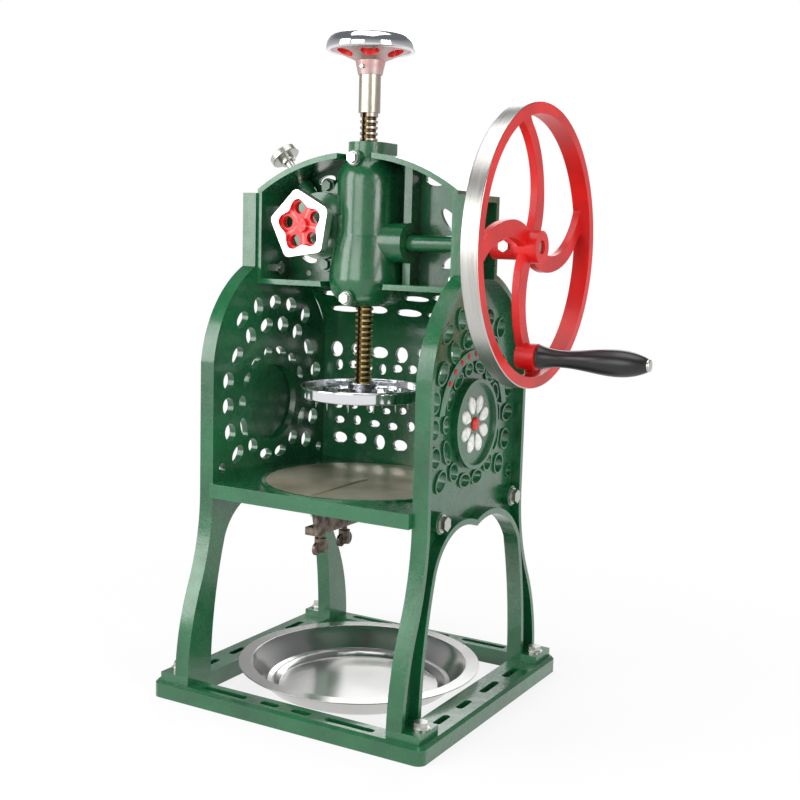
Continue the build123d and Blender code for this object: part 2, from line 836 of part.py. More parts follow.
with BuildPart() as feed_housing:
    with BuildSketch(Plane.XZ.offset(-feed_front)):
        with Locations((feed_x, feed_z)):
            Circle(feed_housing_radius)
    extrude(amount=feed_front - plate_y)
    # lugs of its bolts
    with BuildSketch(Plane.XZ.offset(-plate_y)):
        for x, z in feed_lugs:
            with BuildLine():
                Line((feed_x, feed_z), (x, z))
            trace(line_width=2 * lug_radius)
            with Locations((x, z)):
                Circle(lug_radius)
    extrude(amount=lug_thick)
    # the brake screw's boss
    with BuildSketch(facing(feed_x, brake_y, feed_z, brake_line)):
        Circle(brake_boss)
    extrude(amount=brake_boss_out)
    # inside
    with BuildSketch(Plane.XZ.offset(-feed_front - feed_front_wall)):
        with Locations((feed_x, feed_z)):
            Circle(feed_housing_radius - feed_wall)
    extrude(amount=feed_front + feed_front_wall - plate_y, mode=Mode.SUBTRACT)
    with BuildSketch(Plane.XZ.offset(-feed_front)):
        with Locations((feed_x, feed_z)):
            Circle(knob_shaft_radius + run_gap)
    extrude(amount=-feed_front_wall, mode=Mode.SUBTRACT)
    with BuildSketch(facing(feed_x, brake_y, feed_z, brake_line)):
        Circle(brake_rod + run_gap)
    extrude(amount=brake_boss_out, mode=Mode.SUBTRACT)
    with BuildSketch(Plane.XZ.offset(-plate_y)):
        with Locations(*feed_lugs):
            Circle(m6 + bolt_gap)
    extrude(amount=lug_thick, mode=Mode.SUBTRACT)
    add(case_envelope.part, mode=Mode.SUBTRACT)
write("feed_housing", feed_housing)

with BuildPart() as feed_housing_bolts:
    for x, z in feed_lugs:
        seat = facing(x, plate_y - lug_thick, z, (0, -1, 0))
        hexagon_and_shank(seat, m6_flats, m6_head, m6, lug_thick + head_plate)
write("feed_housing_bolts", feed_housing_bolts)

# ---------------------------------------------------------------- head casting
head_bolts_at = [(side, z) for side in (-1, 1) for z in (head_bolt_low, head_bolt_high)]
panel_top = head_bottom + panel_strip
panel_screws_high = panel_top - m6_washer


def head_outline():
    """The head seen from the front: upright sides under a flat arch."""
    Polyline(
        (-half_inner, head_side_top),
        (-half_inner, head_bottom),
        (half_inner, head_bottom),
        (half_inner, head_side_top),
    )
    ThreePointArc((half_inner, head_side_top), (0, head_arch_top), (-half_inner, head_side_top))


with BuildPart() as head_casting:
    with BuildSketch(Plane.XZ.offset(-head_depth_front)):
        with BuildLine():
            head_outline()
        make_face()
    extrude(amount=head_depth_front - head_depth_back)
    with BuildSketch(Plane.XZ.offset(-head_depth_front)):
        with BuildLine():
            head_outline()
        make_face()
        offset(amount=-head_wall, kind=Kind.INTERSECTION, mode=Mode.REPLACE)
    extrude(amount=head_depth_front - plate_y, mode=Mode.SUBTRACT)
    # a rib on the right of the back plate
    with BuildSketch(Plane.XZ.offset(-rib_front)):
        with BuildLine():
            head_outline()
        make_face()
        with Locations((rib_x + rib_wide / 2, (head_bottom + head_arch_top) / 2)):
            Rectangle(rib_wide, head_arch_top - head_bottom, mode=Mode.INTERSECT)
    extrude(amount=rib_front - plate_y)
    # leaf-shaped openings in the back plate
    with BuildSketch(Plane.XZ.offset(-plate_y)):
        for side in (-1, 1):
            with Locations((side * 66.0, 546.0)):
                Ellipse(11.0, 5.0, rotation=-side * 12)
            with Locations((side * 88.0, 503.0)):
                Ellipse(19.0, 6.5, rotation=-side * 48)
            with Locations((side * 88.0, 463.0)):
                Ellipse(11.0, 5.5, rotation=side * 20)
    extrude(amount=-head_plate, mode=Mode.SUBTRACT)
    # notches for the gear case, hole of the crank shaft's bush, way out of the brake screw
    add(case_notch.part, mode=Mode.SUBTRACT)
    with BuildSketch(Plane.YZ.offset(head_inner)):
        with Locations((0, shaft_z)):
            Circle(case_bush + fit_gap)
    extrude(amount=head_wall, mode=Mode.SUBTRACT)
    with BuildSketch(facing(feed_x, brake_y, feed_z, brake_line)):
        Circle(brake_rod + bolt_gap)
    extrude(amount=brake_head_in, mode=Mode.SUBTRACT)
    # bolt holes
    for side, z in head_bolts_at:
        with BuildSketch(facing(side * half_inner, 0, z, (-side, 0, 0))):
            Circle(m8 + bolt_gap)
        extrude(amount=head_wall, mode=Mode.SUBTRACT)
    with BuildSketch(Plane.XZ.offset(-plate_y)):
        with Locations(*case_bolts_at):
            Circle(m6 + bolt_gap)
        with Locations(*feed_lugs):
            Circle(m6 + fit_gap)
        with Locations((feed_x, feed_z)):
            Circle(knob_shaft_radius + run_gap)
        with Locations((-panel_screw_x, panel_screws_high), (panel_screw_x, panel_screws_high)):
            Circle(m6 + fit_gap)
    extrude(amount=-head_plate, mode=Mode.SUBTRACT)
write("head_casting", head_casting)

with BuildPart() as head_washers:
    for side, z in head_bolts_at:
        seat = facing(side * web_outer, 0, z, (side, 0, 0))
        ring_on(seat, m8_washer, m8 + bolt_gap / 2, washer_thick)
write("head_washers", head_washers)

with BuildPart() as head_bolts:
    for side, z in head_bolts_at:
        seat = facing(side * (web_outer + washer_thick), 0, z, (side, 0, 0))
        length = web_outer + washer_thick - head_inner + m8_nut + 1.5
        hexagon_and_shank(seat, m8_flats, m8_head, m8, length)
write("head_bolts", head_bolts)

with BuildPart() as head_nuts:
    for side, z in head_bolts_at:
        nut_on(facing(side * head_inner, 0, z, (-side, 0, 0)), m8_flats, m8 + fit_gap, m8_nut)
write("head_nuts", head_nuts)

# ---------------------------------------------------------------- back panel


def panel_holes():
    """Centre, width and height of each opening of the panel, row by row."""
    rows = [
        # height, openings, half the row's length, width, height of one
        (422.0, 6, 88.0, 27.0, 7.0),
        (404.0, 5, 84.0, 33.0, 8.0),
        (356.0, 8, 102.0, 19.0, 15.0),
        (338.0, 11, 98.0, 11.0, 10.0),
        (290.0, 10, 98.0, 9.0, 8.0),
        (273.0, 9, 96.0, 12.0, 9.0),
        (252.0, 8, 95.0, 17.0, 14.0),
    ]
    for z, count, half_row, wide, high in rows:
        for i in range(count):
            x = -half_row + 2 * half_row * i / (count - 1)
            stretch = 1.0 + 0.18 * math.sin(2.1 * i + z)
            yield x, z + 1.5 * math.sin(1.7 * i), wide * stretch, high / stretch


with BuildPart() as back_panel:
    half_panel = half_inner - plate_gap
    outer = panel_inner + panel_thick
    inner_top = head_depth_back
    with BuildSketch(Plane.YZ):
        with BuildLine():
            middle = panel_inner + panel_thick / 2
            end = (inner_top + panel_thick / 2, head_bottom + panel_thick / 2)
            Line((middle, panel_bottom), (middle, panel_bend))
            TangentArc((middle, panel_bend), end, tangent=(0, 1))
        trace(line_width=panel_thick)
        with Locations((inner_top + panel_thick / 2, (head_bottom + panel_top) / 2)):
            Rectangle(panel_thick, panel_strip)
    extrude(amount=half_panel, both=True)
    with BuildSketch(Plane.XZ):
        for x, z, wide, high in panel_holes():
            with Locations((x, z)):
                Ellipse(wide / 2, high / 2)
        with Locations((-panel_screw_x, panel_screws_high), (panel_screw_x, panel_screws_high)):
            Circle(m6 + bolt_gap)
        with Locations((-panel_screw_x, panel_screws_low), (panel_screw_x, panel_screws_low)):
            Circle(m6 + bolt_gap)
        # notches round the heads of the gear case's bolts
        for x, z in case_bolts_at:
            with Locations((x, z)):
                Circle(m6_flats)
    extrude(amount=-outer, mode=Mode.SUBTRACT)
write("back_panel", back_panel)

with BuildPart() as panel_screws:
    for x in (-panel_screw_x, panel_screw_x):
        seat = facing(x, panel_inner + panel_thick, panel_screws_low, (0, 1, 0))
        hexagon_and_shank(seat, m6_flats, m6_head, m6, panel_thick + shelf_wall)
        seat = facing(x, head_depth_back + panel_thick, panel_screws_high, (0, 1, 0))
        hexagon_and_shank(seat, m6_flats, m6_head, m6, panel_thick + head_plate)
write("panel_screws", panel_screws)

# ---------------------------------------------------------------- bushes and sleeve
with BuildPart() as spindle_bush:
    ring_on(
        Plane.XY.offset(bush_ledge),
        bush_radius,
        gear_hub + run_gap,
        gear_low - end_gap - bush_ledge,
    )
write("spindle_bush", spindle_bush)

with BuildPart() as nut_bush:
    ring_on(
        Plane.XY.offset(cavity_high), bush_radius, nut_hub + run_gap, nut_bush_top - cavity_high
    )
write("nut_bush", nut_bush)

with BuildPart() as crank_bush_inner:
    ring_on(
        facing(shaft_shoulder + 1.0, 0, shaft_z, (1, 0, 0)),
        case_bush,
        shaft_radius + run_gap,
        shaft_boss_x - shaft_shoulder - 1.0,
    )
write("crank_bush_inner", crank_bush_inner)

with BuildPart() as crank_bush_outer:
    seat = facing(head_inner, 0, shaft_z, (1, 0, 0))
    ring_on(seat, case_bush, shaft_radius + run_gap, bush_out - head_inner)
write("crank_bush_outer", crank_bush_outer)

with BuildPart() as shaft_sleeve:
    seat = facing(shaft_boss_x, 0, shaft_z, (1, 0, 0))
    ring_on(seat, sleeve_radius, shaft_radius + bolt_gap, head_inner - shaft_boss_x)
write("shaft_sleeve", shaft_sleeve)

# ---------------------------------------------------------------- crank shaft and flywheel
shaft_axis = Axis((0, 0, shaft_z), (1, 0, 0))
cone = Vector(gear_radius, 0, -pinion_radius) / cone_length  # along both pitch cones
apex = Vector(0, 0, shaft_z)
slot_half = (tooth_pitch + tooth_play) / 4
slope = math.tan(math.radians(flank))


def cone_point(along, above):
    """A point in the plane X, Z: its share of the cone's length, and how far it stands off it."""
    across = above / cone_length
    return (
        along * (gear_radius + across * pinion_radius),
        shaft_z + along * (across * gear_radius - pinion_radius),
    )


def tooth_space(side):
    """The space between two bevel teeth; it narrows towards the apex. side is 1 for the gear."""
    ends = []
    for share in (tooth_share - 0.1, 1.12):
        centre = apex + cone * (cone_length * share)
        with BuildSketch(Plane(origin=centre, x_dir=(0, 1, 0), z_dir=cone)) as end:
            with BuildLine():
                deep = dedendum * share * side
                high = (addendum + 0.8) * share * side
                wide_low = (slot_half - dedendum * slope) * share
                wide_high = (slot_half + (addendum + 0.8) * slope) * share
                Polyline(
                    (-wide_low, -deep), (wide_low, -deep), (wide_high, high), (-wide_high, high), close=True
                )
            make_face()
        ends.append(end.sketch)
    loft(ends)


with BuildPart() as gear_space:
    tooth_space(1)

with BuildPart() as pinion_space:
    tooth_space(-1)

with BuildPart() as bevel_pinion:
    with BuildSketch(Plane.XZ):
        with BuildLine():
            Polyline(
                (cone_point(tooth_share, dedendum)[0], shaft_z - shaft_end_radius - fit_gap),
                cone_point(tooth_share, dedendum),
                cone_point(tooth_share, -addendum),
                cone_point(1.0, -addendum),
                cone_point(1.0, dedendum),
                (cone_point(1.0, dedendum)[0], shaft_z - pinion_hub),
                (shaft_shoulder, shaft_z - pinion_hub),
                (shaft_shoulder, shaft_z - shaft_end_radius - fit_gap),
                close=True,
            )
        make_face()
    revolve(axis=shaft_axis)
    # room for the other teeth
    for i in range(pinion_teeth):
        add(pinion_space.part.rotate(shaft_axis, i * 360 / pinion_teeth), mode=Mode.SUBTRACT)
    with BuildSketch(facing((shaft_shoulder + cone_point(1.0, dedendum)[0]) / 2, 0, shaft_z, (0, 1, 0))):
        Circle(pin_radius + fit_gap)
    extrude(amount=pinion_hub, both=True, mode=Mode.SUBTRACT)
write("bevel_pinion", bevel_pinion)

pin_x = (shaft_shoulder + cone_point(1.0, dedendum)[0]) / 2

with BuildPart() as pinion_pin:
    with BuildSketch(facing(pin_x, 0, shaft_z, (0, 1, 0))):
        Circle(pin_radius)
    extrude(amount=pinion_hub - 0.5, both=True)
write("pinion_pin", pinion_pin)

with BuildPart() as crank_shaft:
    with BuildSketch(facing(cone_point(tooth_share, dedendum)[0] - 1.5, 0, shaft_z, (1, 0, 0))):
        Circle(shaft_end_radius)
    extrude(amount=shaft_shoulder - cone_point(tooth_share, dedendum)[0] + 1.5)
    with BuildSketch(facing(shaft_shoulder, 0, shaft_z, (1, 0, 0))):
        Circle(shaft_radius)
    extrude(amount=wheel_front - 1.5 - shaft_shoulder)
    chamfer(crank_shaft.faces().sort_by(Axis.X)[-1].edges(), length=1.0)
    with BuildSketch(facing(pin_x, 0, shaft_z, (0, 1, 0))):
        Circle(pin_radius + fit_gap)
    extrude(amount=pinion_hub, both=True, mode=Mode.SUBTRACT)
write("crank_shaft", crank_shaft)


def on_wheel(x):
    """A plane across the crank shaft, with its origin on the shaft's axis."""
    return Plane(origin=(x, 0, shaft_z), x_dir=(0, 1, 0), z_dir=(1, 0, 0))


def spoke_edge(side, turn):
    """Points along one edge of a curved spoke, which widens at the hub and at the rim."""
    end = rim_radius - rim_thick / 2
    stations = [
        (wheel_hub * 0.8, spoke_half + 1.0),
        (wheel_hub * 2.0, spoke_half + 1.0),
        (rim_radius / 2, spoke_half),
        (end - 2 * spoke_flare, spoke_half + 0.5),
        (end - 0.7 * spoke_flare, spoke_half + 0.4 * spoke_flare),
        (end, spoke_half + 1.4 * spoke_flare),
    ]
    for radius, half in stations:
        angle = math.radians(spoke_start + spoke_sweep * radius + turn) + side * half / radius
        yield (radius * math.cos(angle), radius * math.sin(angle))


with BuildPart() as flywheel:
    for turn in (0, 90, 180, 270):
        with BuildSketch(on_wheel(wheel_back)):
            with BuildLine():
                one_edge = list(spoke_edge(-1, turn))
                other_edge = list(spoke_edge(1, turn))
                Spline(*one_edge)
                Spline(*other_edge)
                Line(one_edge[0], other_edge[0])
                Line(one_edge[-1], other_edge[-1])
            make_face()
        extrude(amount=spoke_thick)
    # the rim, with its edges broken
    with BuildSketch(Plane.XZ):
        with BuildLine():
            bottom = shaft_z + rim_radius - rim_thick
            top = shaft_z + rim_radius
            Polyline(
                (wheel_back, bottom),
                (wheel_back, top - 1.0),
                (wheel_back + 1.0, top),
                (wheel_front - 1.0, top),
                (wheel_front, top - 1.0),
                (wheel_front, bottom),
                close=True,
            )
        make_face()
    revolve(axis=shaft_axis)
    # hub, and the boss on a spoke that carries the handle
    with BuildSketch(on_wheel(hub_inner_end)):
        Circle(wheel_boss)
    extrude(amount=wheel_front - hub_inner_end)
    with BuildSketch(on_wheel(wheel_back - 4.0)):
        Circle(wheel_hub)
    extrude(amount=rim_wide + 4.0 + 1.0)
    with BuildSketch(on_wheel(wheel_back)):
        with Locations((handle_y, handle_z - shaft_z)):
            Circle(handle_boss)
    extrude(amount=rim_wide + 2.0)
    with BuildSketch(on_wheel(hub_inner_end)):
        Circle(shaft_radius + fit_gap)
        with Locations((handle_y, handle_z - shaft_z)):
            Circle(handle_pin_radius + fit_gap)
    extrude(amount=wheel_front - hub_inner_end + 5.0, mode=Mode.SUBTRACT)
    with BuildSketch(facing(wheel_screw_x, 0, shaft_z, (0, -1, 0))):
        Circle(m6 + fit_gap)
    extrude(amount=wheel_hub, mode=Mode.SUBTRACT)
write("flywheel", flywheel)

with BuildPart() as flywheel_set_screw:
    seat = facing(wheel_screw_x, -wheel_boss, shaft_z, (0, -1, 0))
    hexagon_and_shank(seat, m6_flats, m6_head, m6, wheel_boss - shaft_radius - fit_gap)
write("flywheel_set_screw", flywheel_set_screw)

# ---------------------------------------------------------------- handle
grip_end = grip_start + grip_length


def on_handle(x):
    """A plane across the handle, with its origin on the handle's axis."""
    return Plane(origin=(x, handle_y, handle_z), x_dir=(0, 1, 0), z_dir=(1, 0, 0))


with BuildPart() as handle_pin:
    with BuildSketch(on_handle(wheel_back + 1.0)):
        Circle(handle_pin_radius)
    extrude(amount=grip_end + end_gap - wheel_back - 1.0)
    # collar against the wheel, riveted end outside the grip
    with BuildSketch(on_handle(wheel_front + 2.0)):
        Circle(handle_pin_radius + 2.5)
    extrude(amount=grip_start - end_gap - wheel_front - 2.0)
    with BuildSketch(on_handle(grip_end + end_gap)):
        Circle(handle_pin_radius + 1.5)
    extrude(amount=2.5)
    fillet(handle_pin.faces().sort_by(Axis.X)[-1].edges(), radius=1.5)
write("handle_pin", handle_pin)

with BuildPart() as handle_grip:
    with BuildSketch(Plane(origin=(grip_start, handle_y, handle_z), x_dir=(1, 0, 0), z_dir=(0, -1, 0))):
        with BuildLine():
            Line((0, handle_pin_radius + run_gap), (0, grip_radii[0]))
            Spline(
                (0, grip_radii[0]),
                (0.33 * grip_length, grip_radii[1]),
                (0.75 * grip_length, grip_radii[2]),
                (grip_length, grip_radii[3]),
            )
            Polyline(
                (grip_length, grip_radii[3]),
                (grip_length, handle_pin_radius + run_gap),
                (0, handle_pin_radius + run_gap),
            )
        make_face()
    revolve(axis=Axis((0, handle_y, handle_z), (1, 0, 0)))
write("handle_grip", handle_grip)

# ---------------------------------------------------------------- drive gear and key
gear_top = shaft_z + 2.0
gear_bore = screw_radius + run_gap

with BuildPart() as drive_gear:
    with BuildSketch(Plane.XZ):
        with BuildLine():
            Polyline(
                (gear_bore, gear_top),
                (upper_hub, gear_top),
                (upper_hub, cone_point(tooth_share, -dedendum)[1]),
                cone_point(tooth_share, -dedendum),
                cone_point(tooth_share, addendum),
                cone_point(1.0, addendum),
                cone_point(1.0, -dedendum),
                (gear_radius - dedendum, gear_low),
                (gear_hub, gear_low),
                (gear_hub, gear_hub_low),
                (gear_bore, gear_hub_low),
                close=True,
            )
        make_face()
    revolve(axis=Axis.Z)
    for i in range(gear_teeth):
        turn = (i + 0.5) * 360 / gear_teeth
        add(gear_space.part.rotate(Axis.Z, turn), mode=Mode.SUBTRACT)
    with BuildSketch(Plane((0, -(key_out + fit_gap) / 2, gear_hub_low))):
        Rectangle(keyway_wide, key_out + fit_gap)
    extrude(amount=key_high + 4.0, mode=Mode.SUBTRACT)
write("drive_gear", drive_gear)

with BuildPart() as feather_key:
    with BuildSketch(Plane((0, -(key_out + keyway_floor + 0.2) / 2, gear_hub_low + 4.0))):
        Rectangle(keyway_wide - 2 * run_gap, key_out - keyway_floor - 0.2)
    extrude(amount=key_high)
write("feather_key", feather_key)

# ---------------------------------------------------------------- feed nut and feed gear
feed_pitch = 2 * math.pi * nut_radius / nut_teeth * math.cos(math.radians(45))
feed_slot = (feed_pitch + feed_play) / 4


def slanting_space(outward):
    """The space between two teeth that slant at 45 degrees, where the two wheels meet."""
    where = (-nut_radius, 0, feed_z)
    with BuildSketch(Plane(origin=where, x_dir=(outward, 0, 0), z_dir=(0, 1, 1))) as space:
        with BuildLine():
            low = feed_slot - dedendum * slope
            high = feed_slot + (addendum + 1.0) * slope
            Polyline(
                (-dedendum, -low), (addendum + 1.0, -high), (addendum + 1.0, high), (-dedendum, low), close=True
            )
        make_face()
    extrude(space.sketch, amount=feed_face, both=True)


with BuildPart() as nut_space:
    slanting_space(-1)

with BuildPart() as feed_space:
    slanting_space(1)

with BuildPart() as feed_nut:
    with BuildSketch(Plane.XY.offset(gear_top + end_gap)):
        Circle(upper_hub)
    extrude(amount=nut_bush_top - 2 * end_gap - gear_top)
    with BuildSketch(Plane.XY.offset(feed_z - nut_face / 2)):
        Circle(nut_radius + addendum)
    extrude(amount=nut_face)
    with BuildSketch(Plane.XY.offset(feed_z)):
        Circle(nut_hub)
    extrude(amount=nut_bush_top - end_gap - feed_z)
    with BuildSketch(Plane.XY.offset(gear_top)):
        Circle(gear_bore)
    extrude(amount=nut_bush_top - gear_top, mode=Mode.SUBTRACT)
    for i in range(nut_teeth):
        add(nut_space.part.rotate(Axis.Z, i * 360 / nut_teeth), mode=Mode.SUBTRACT)
write("feed_nut", feed_nut)

feed_axis = Axis((feed_x, 0, feed_z), (0, 1, 0))


def across_feed(y):
    """A plane across the feed knob's shaft, seen from the front."""
    return Plane(origin=(feed_x, y, feed_z), x_dir=(1, 0, 0), z_dir=(0, -1, 0))


with BuildPart() as knob_gear:
    with BuildSketch(across_feed(feed_face / 2)):
        Circle(feed_radius + addendum)
        Circle(knob_shaft_radius + fit_gap, mode=Mode.SUBTRACT)
    extrude(amount=feed_face)
    for i in range(feed_teeth):
        turn = (i + 0.5) * 360 / feed_teeth
        add(feed_space.part.rotate(feed_axis, turn), mode=Mode.SUBTRACT)
write("knob_gear", knob_gear)

with BuildPart() as brake_drum:
    ring_on(across_feed(drum_back), drum_radius, knob_shaft_radius + fit_gap, drum_back - feed_face / 2)
write("brake_drum", brake_drum)

with BuildPart() as brake_shoe:
    with BuildSketch(facing(feed_x + brake_cos * (drum_radius + shoe_gap), brake_y,
                            feed_z + brake_sin * (drum_radius + shoe_gap), brake_line)):
        Circle(brake_rod)
    extrude(amount=shoe_out - drum_radius - shoe_gap)
write("brake_shoe", brake_shoe)

# ---------------------------------------------------------------- feed knob
with BuildPart() as feed_knob:
    with BuildSketch(across_feed(knob_back)) as knob_outline:
        RegularPolygon(radius=knob_radius, side_count=5, rotation=knob_turn)
        fillet(knob_outline.vertices(), radius=knob_corner)
    extrude(amount=knob_thick)
    with BuildSketch(across_feed(knob_hub_end)):
        Circle(knob_hub)
    extrude(amount=knob_hub_end - knob_back)
    with BuildSketch(across_feed(knob_front)):
        Circle(finger_circle + 2.0)
        with PolarLocations(finger_circle, 5, start_angle=knob_turn):
            Circle(finger_hole + 2.5)
        Circle(knob_shaft_radius + 1.5, mode=Mode.SUBTRACT)
    extrude(amount=-knob_recess, mode=Mode.SUBTRACT)
    with BuildSketch(across_feed(knob_front)):
        with PolarLocations(finger_circle, 5, start_angle=knob_turn):
            Circle(finger_hole)
    extrude(amount=-knob_thick, mode=Mode.SUBTRACT)
    with BuildSketch(across_feed(knob_hub_end)):
        Circle(knob_shaft_radius + fit_gap)
    extrude(amount=knob_hub_end - knob_back + knob_recess, mode=Mode.SUBTRACT)
    with BuildSketch(facing(feed_x, (knob_back + knob_hub_end) / 2, feed_z, (0, 0, 1))):
        Circle(grub_radius + fit_gap)
    extrude(amount=knob_hub, mode=Mode.SUBTRACT)
write("feed_knob", feed_knob)

with BuildPart() as knob_grub_screw:
    grub_seat = feed_z + knob_shaft_radius + fit_gap
    with BuildSketch(facing(feed_x, (knob_back + knob_hub_end) / 2, grub_seat, (0, 0, 1))):
        Circle(grub_radius)
    extrude(amount=knob_hub - knob_shaft_radius - 1.0)
write("knob_grub_screw", knob_grub_screw)

with BuildPart() as knob_shaft:
    with BuildSketch(across_feed(head_depth_back)):
        Circle(knob_shaft_radius)
    extrude(amount=head_depth_back - knob_back + knob_recess - fit_gap)
write("knob_shaft", knob_shaft)

# ---------------------------------------------------------------- brake screw


def on_brake(distance):
    """A plane across the brake screw at a distance from the feed axis."""
    where = (feed_x + brake_cos * distance, brake_y, feed_z + brake_sin * distance)
    return Plane(origin=where, x_dir=(0, 1, 0), z_dir=brake_line)


with BuildPart() as brake_screw:
    with BuildSketch(on_brake(shoe_out + shoe_gap)):
        Circle(brake_rod)
    extrude(amount=brake_head_out - 3.0 - shoe_out - shoe_gap)
write("brake_screw", brake_screw)

with BuildPart() as brake_screw_head:
    with BuildSketch(on_brake(brake_head_in)):
        Circle(brake_head)
    extrude(amount=brake_head_out - brake_head_in)
    fillet(brake_screw_head.edges().filter_by(GeomType.CIRCLE), radius=1.0)
    with BuildSketch(on_brake(brake_head_in - 6.0)):
        Circle(brake_head / 2)
    extrude(amount=6.0)
    with BuildSketch(on_brake(brake_head_in - 6.0)):
        Circle(brake_rod + fit_gap)
    extrude(amount=brake_head_out - brake_head_in + 3.0, mode=Mode.SUBTRACT)
write("brake_screw_head", brake_screw_head)

# ---------------------------------------------------------------- feed screw
with BuildPart() as spindle:
    with BuildSketch(Plane.XZ):
        with BuildLine():
            outline = [
                (0, plate_low - plate_nut_high - 2.0),
                (tail_radius, plate_low - plate_nut_high - 2.0),
                (tail_radius, thread_low),
                (screw_radius, thread_low),
            ]
            grooves = int((thread_high - thread_low) // thread_pitch)
            for i in range(grooves):
                z = thread_low + (i + 0.5) * thread_pitch
                outline += [
                    (screw_radius, z - 0.32 * thread_pitch),
                    (thread_root, z - 0.16 * thread_pitch),
                    (thread_root, z + 0.16 * thread_pitch),
                    (screw_radius, z + 0.32 * thread_pitch),
                ]
            outline += [
                (screw_radius, shank_low),
                (shank_radius, shank_low),
                (shank_radius, hub_bottom),
                (top_radius, hub_bottom),
                (top_radius, hub_top + 1.0),
                (0, hub_top + 1.0),
            ]
            Polyline(*outline, close=True)
        make_face()
    revolve(axis=Axis.Z)
    with BuildSketch(Plane((0, -(keyway_floor + screw_radius), thread_low))):
        Rectangle(keyway_wide, 2 * screw_radius)
    extrude(amount=shank_low - thread_low, mode=Mode.SUBTRACT)
write("spindle", spindle)

with BuildPart() as pressure_plate:
    with BuildSketch(Plane.XY.offset(plate_low)):
        Circle(plate_radius)
    extrude(amount=plate_thick)
    for outside, inside, top in (
        (plate_radius, plate_radius - plate_wall, plate_top),
        (plate_ring, plate_ring - plate_wall, plate_top - 5.0),
        (plate_hub, tail_radius, thread_low),
    ):
        ring_on(Plane.XY.offset(plate_low), outside, inside, top - plate_low)
    with BuildSketch(Plane.XY.offset(plate_low)):
        Circle(tail_radius + fit_gap)
    extrude(amount=thread_low - plate_low, mode=Mode.SUBTRACT)
write("pressure_plate", pressure_plate)

with BuildPart() as plate_spikes:
    with BuildSketch(Plane.XY.offset(plate_low)):
        for radius, count in spike_circles:
            with PolarLocations(radius, count, start_angle=15):
                Circle(spike_radius)
    extrude(amount=-spike_length, taper=6)
write("plate_spikes", plate_spikes)

with BuildPart() as plate_nut:
    nut_on(Plane.XY.offset(plate_low - plate_nut_high), plate_nut_flats, tail_radius + fit_gap, plate_nut_high)
write("plate_nut", plate_nut)

# ---------------------------------------------------------------- handwheel
with BuildPart() as handwheel:
    rim_low = handwheel_top - handwheel_rim
    with BuildSketch(Plane.XZ):
        with BuildLine():
            Polyline(
                (top_radius + fit_gap, hub_bottom),
                (handwheel_hub - 3.0, hub_bottom),
                (handwheel_hub, hub_top - handwheel_web - 2.0),
                (handwheel_radius - rim_wall, rim_low + 2.0),
                (handwheel_radius - rim_wall + 1.0, rim_low),
                (handwheel_radius, rim_low + 1.5),
                (handwheel_radius, handwheel_top - 1.5),
                (handwheel_radius - 1.5, handwheel_top),
                (handwheel_radius - rim_wall, handwheel_top),
                (handwheel_radius - rim_wall, rim_low + 2.0 + handwheel_web),
                (handwheel_hub, hub_top),
                (top_radius + fit_gap, hub_top),
                close=True,
            )
        make_face()
    revolve(axis=Axis.Z)
    with BuildSketch(Plane.XY.offset(hub_bottom)):
        with PolarLocations((handwheel_radius + handwheel_hub) / 2 - 1.0, 6):
            Ellipse(7.5, 9.5)
    extrude(amount=handwheel_top - hub_bottom, mode=Mode.SUBTRACT)
    with BuildSketch(facing(0, 0, handwheel_screw_z, (0, -1, 0))):
        Circle(grub_radius + fit_gap)
    extrude(amount=handwheel_hub + 2.0, mode=Mode.SUBTRACT)
write("handwheel", handwheel)

with BuildPart() as handwheel_set_screw:
    with BuildSketch(facing(0, -top_radius - fit_gap, handwheel_screw_z, (0, -1, 0))):
        Circle(grub_radius)
    extrude(amount=handwheel_hub - top_radius + 2.0)
write("handwheel_set_screw", handwheel_set_screw)

# ---------------------------------------------------------------- tray
with BuildPart() as tray:
    slope_points = [
        (tray_floor, 0.0),
        (tray_floor + 5.0, 4.0),
        (tray_floor + 13.0, 6.0),
        (tray_floor + 17.0, 11.0),
        (tray_mouth - 3.0, tray_high - 4.0),
        (tray_mouth, tray_high - tray_thick),
        (tray_radius, tray_high - tray_thick),
    ]
    inner_points = [(r - tray_thick, z + tray_thick) for r, z in slope_points[:-2]]
    with BuildSketch(Plane((0, tray_y, 0), x_dir=(1, 0, 0), z_dir=(0, -1, 0))):
        with BuildLine():
            Polyline(
                (0, 0),
                *slope_points,
                (tray_radius, tray_high),
                (tray_mouth - tray_thick, tray_high),
                *reversed(inner_points),
                (0, tray_thick),
                close=True,
            )
        make_face()
    revolve(axis=Axis((0, tray_y, 0), (0, 0, 1)))
write("tray", tray)
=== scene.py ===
import bpy, bmesh, math
from mathutils import Matrix, Vector


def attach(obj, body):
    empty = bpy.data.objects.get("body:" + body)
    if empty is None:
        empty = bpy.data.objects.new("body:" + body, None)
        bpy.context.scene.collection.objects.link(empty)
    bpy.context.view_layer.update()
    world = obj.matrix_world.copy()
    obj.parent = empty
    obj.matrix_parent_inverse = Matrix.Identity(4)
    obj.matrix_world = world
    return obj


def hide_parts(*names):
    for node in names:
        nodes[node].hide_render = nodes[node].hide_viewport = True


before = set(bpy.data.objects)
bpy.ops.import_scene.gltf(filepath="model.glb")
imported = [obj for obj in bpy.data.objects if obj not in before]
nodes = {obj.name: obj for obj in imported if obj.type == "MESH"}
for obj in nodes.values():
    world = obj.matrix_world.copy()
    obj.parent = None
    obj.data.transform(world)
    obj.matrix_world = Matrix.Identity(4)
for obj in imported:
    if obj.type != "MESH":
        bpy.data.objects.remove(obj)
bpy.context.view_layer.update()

# ---- Camera
# Set up as the photograph was taken: from the right of the front, just above the
# middle of the machine, with a short telephoto lens and a slight tilt of the picture.
photo_width = 800.0
focal_pixels = 1226.8
sensor_width = 36.0
camera_place = (0.6761, -1.0983, 0.4868)
camera_heading = math.radians(29.85)
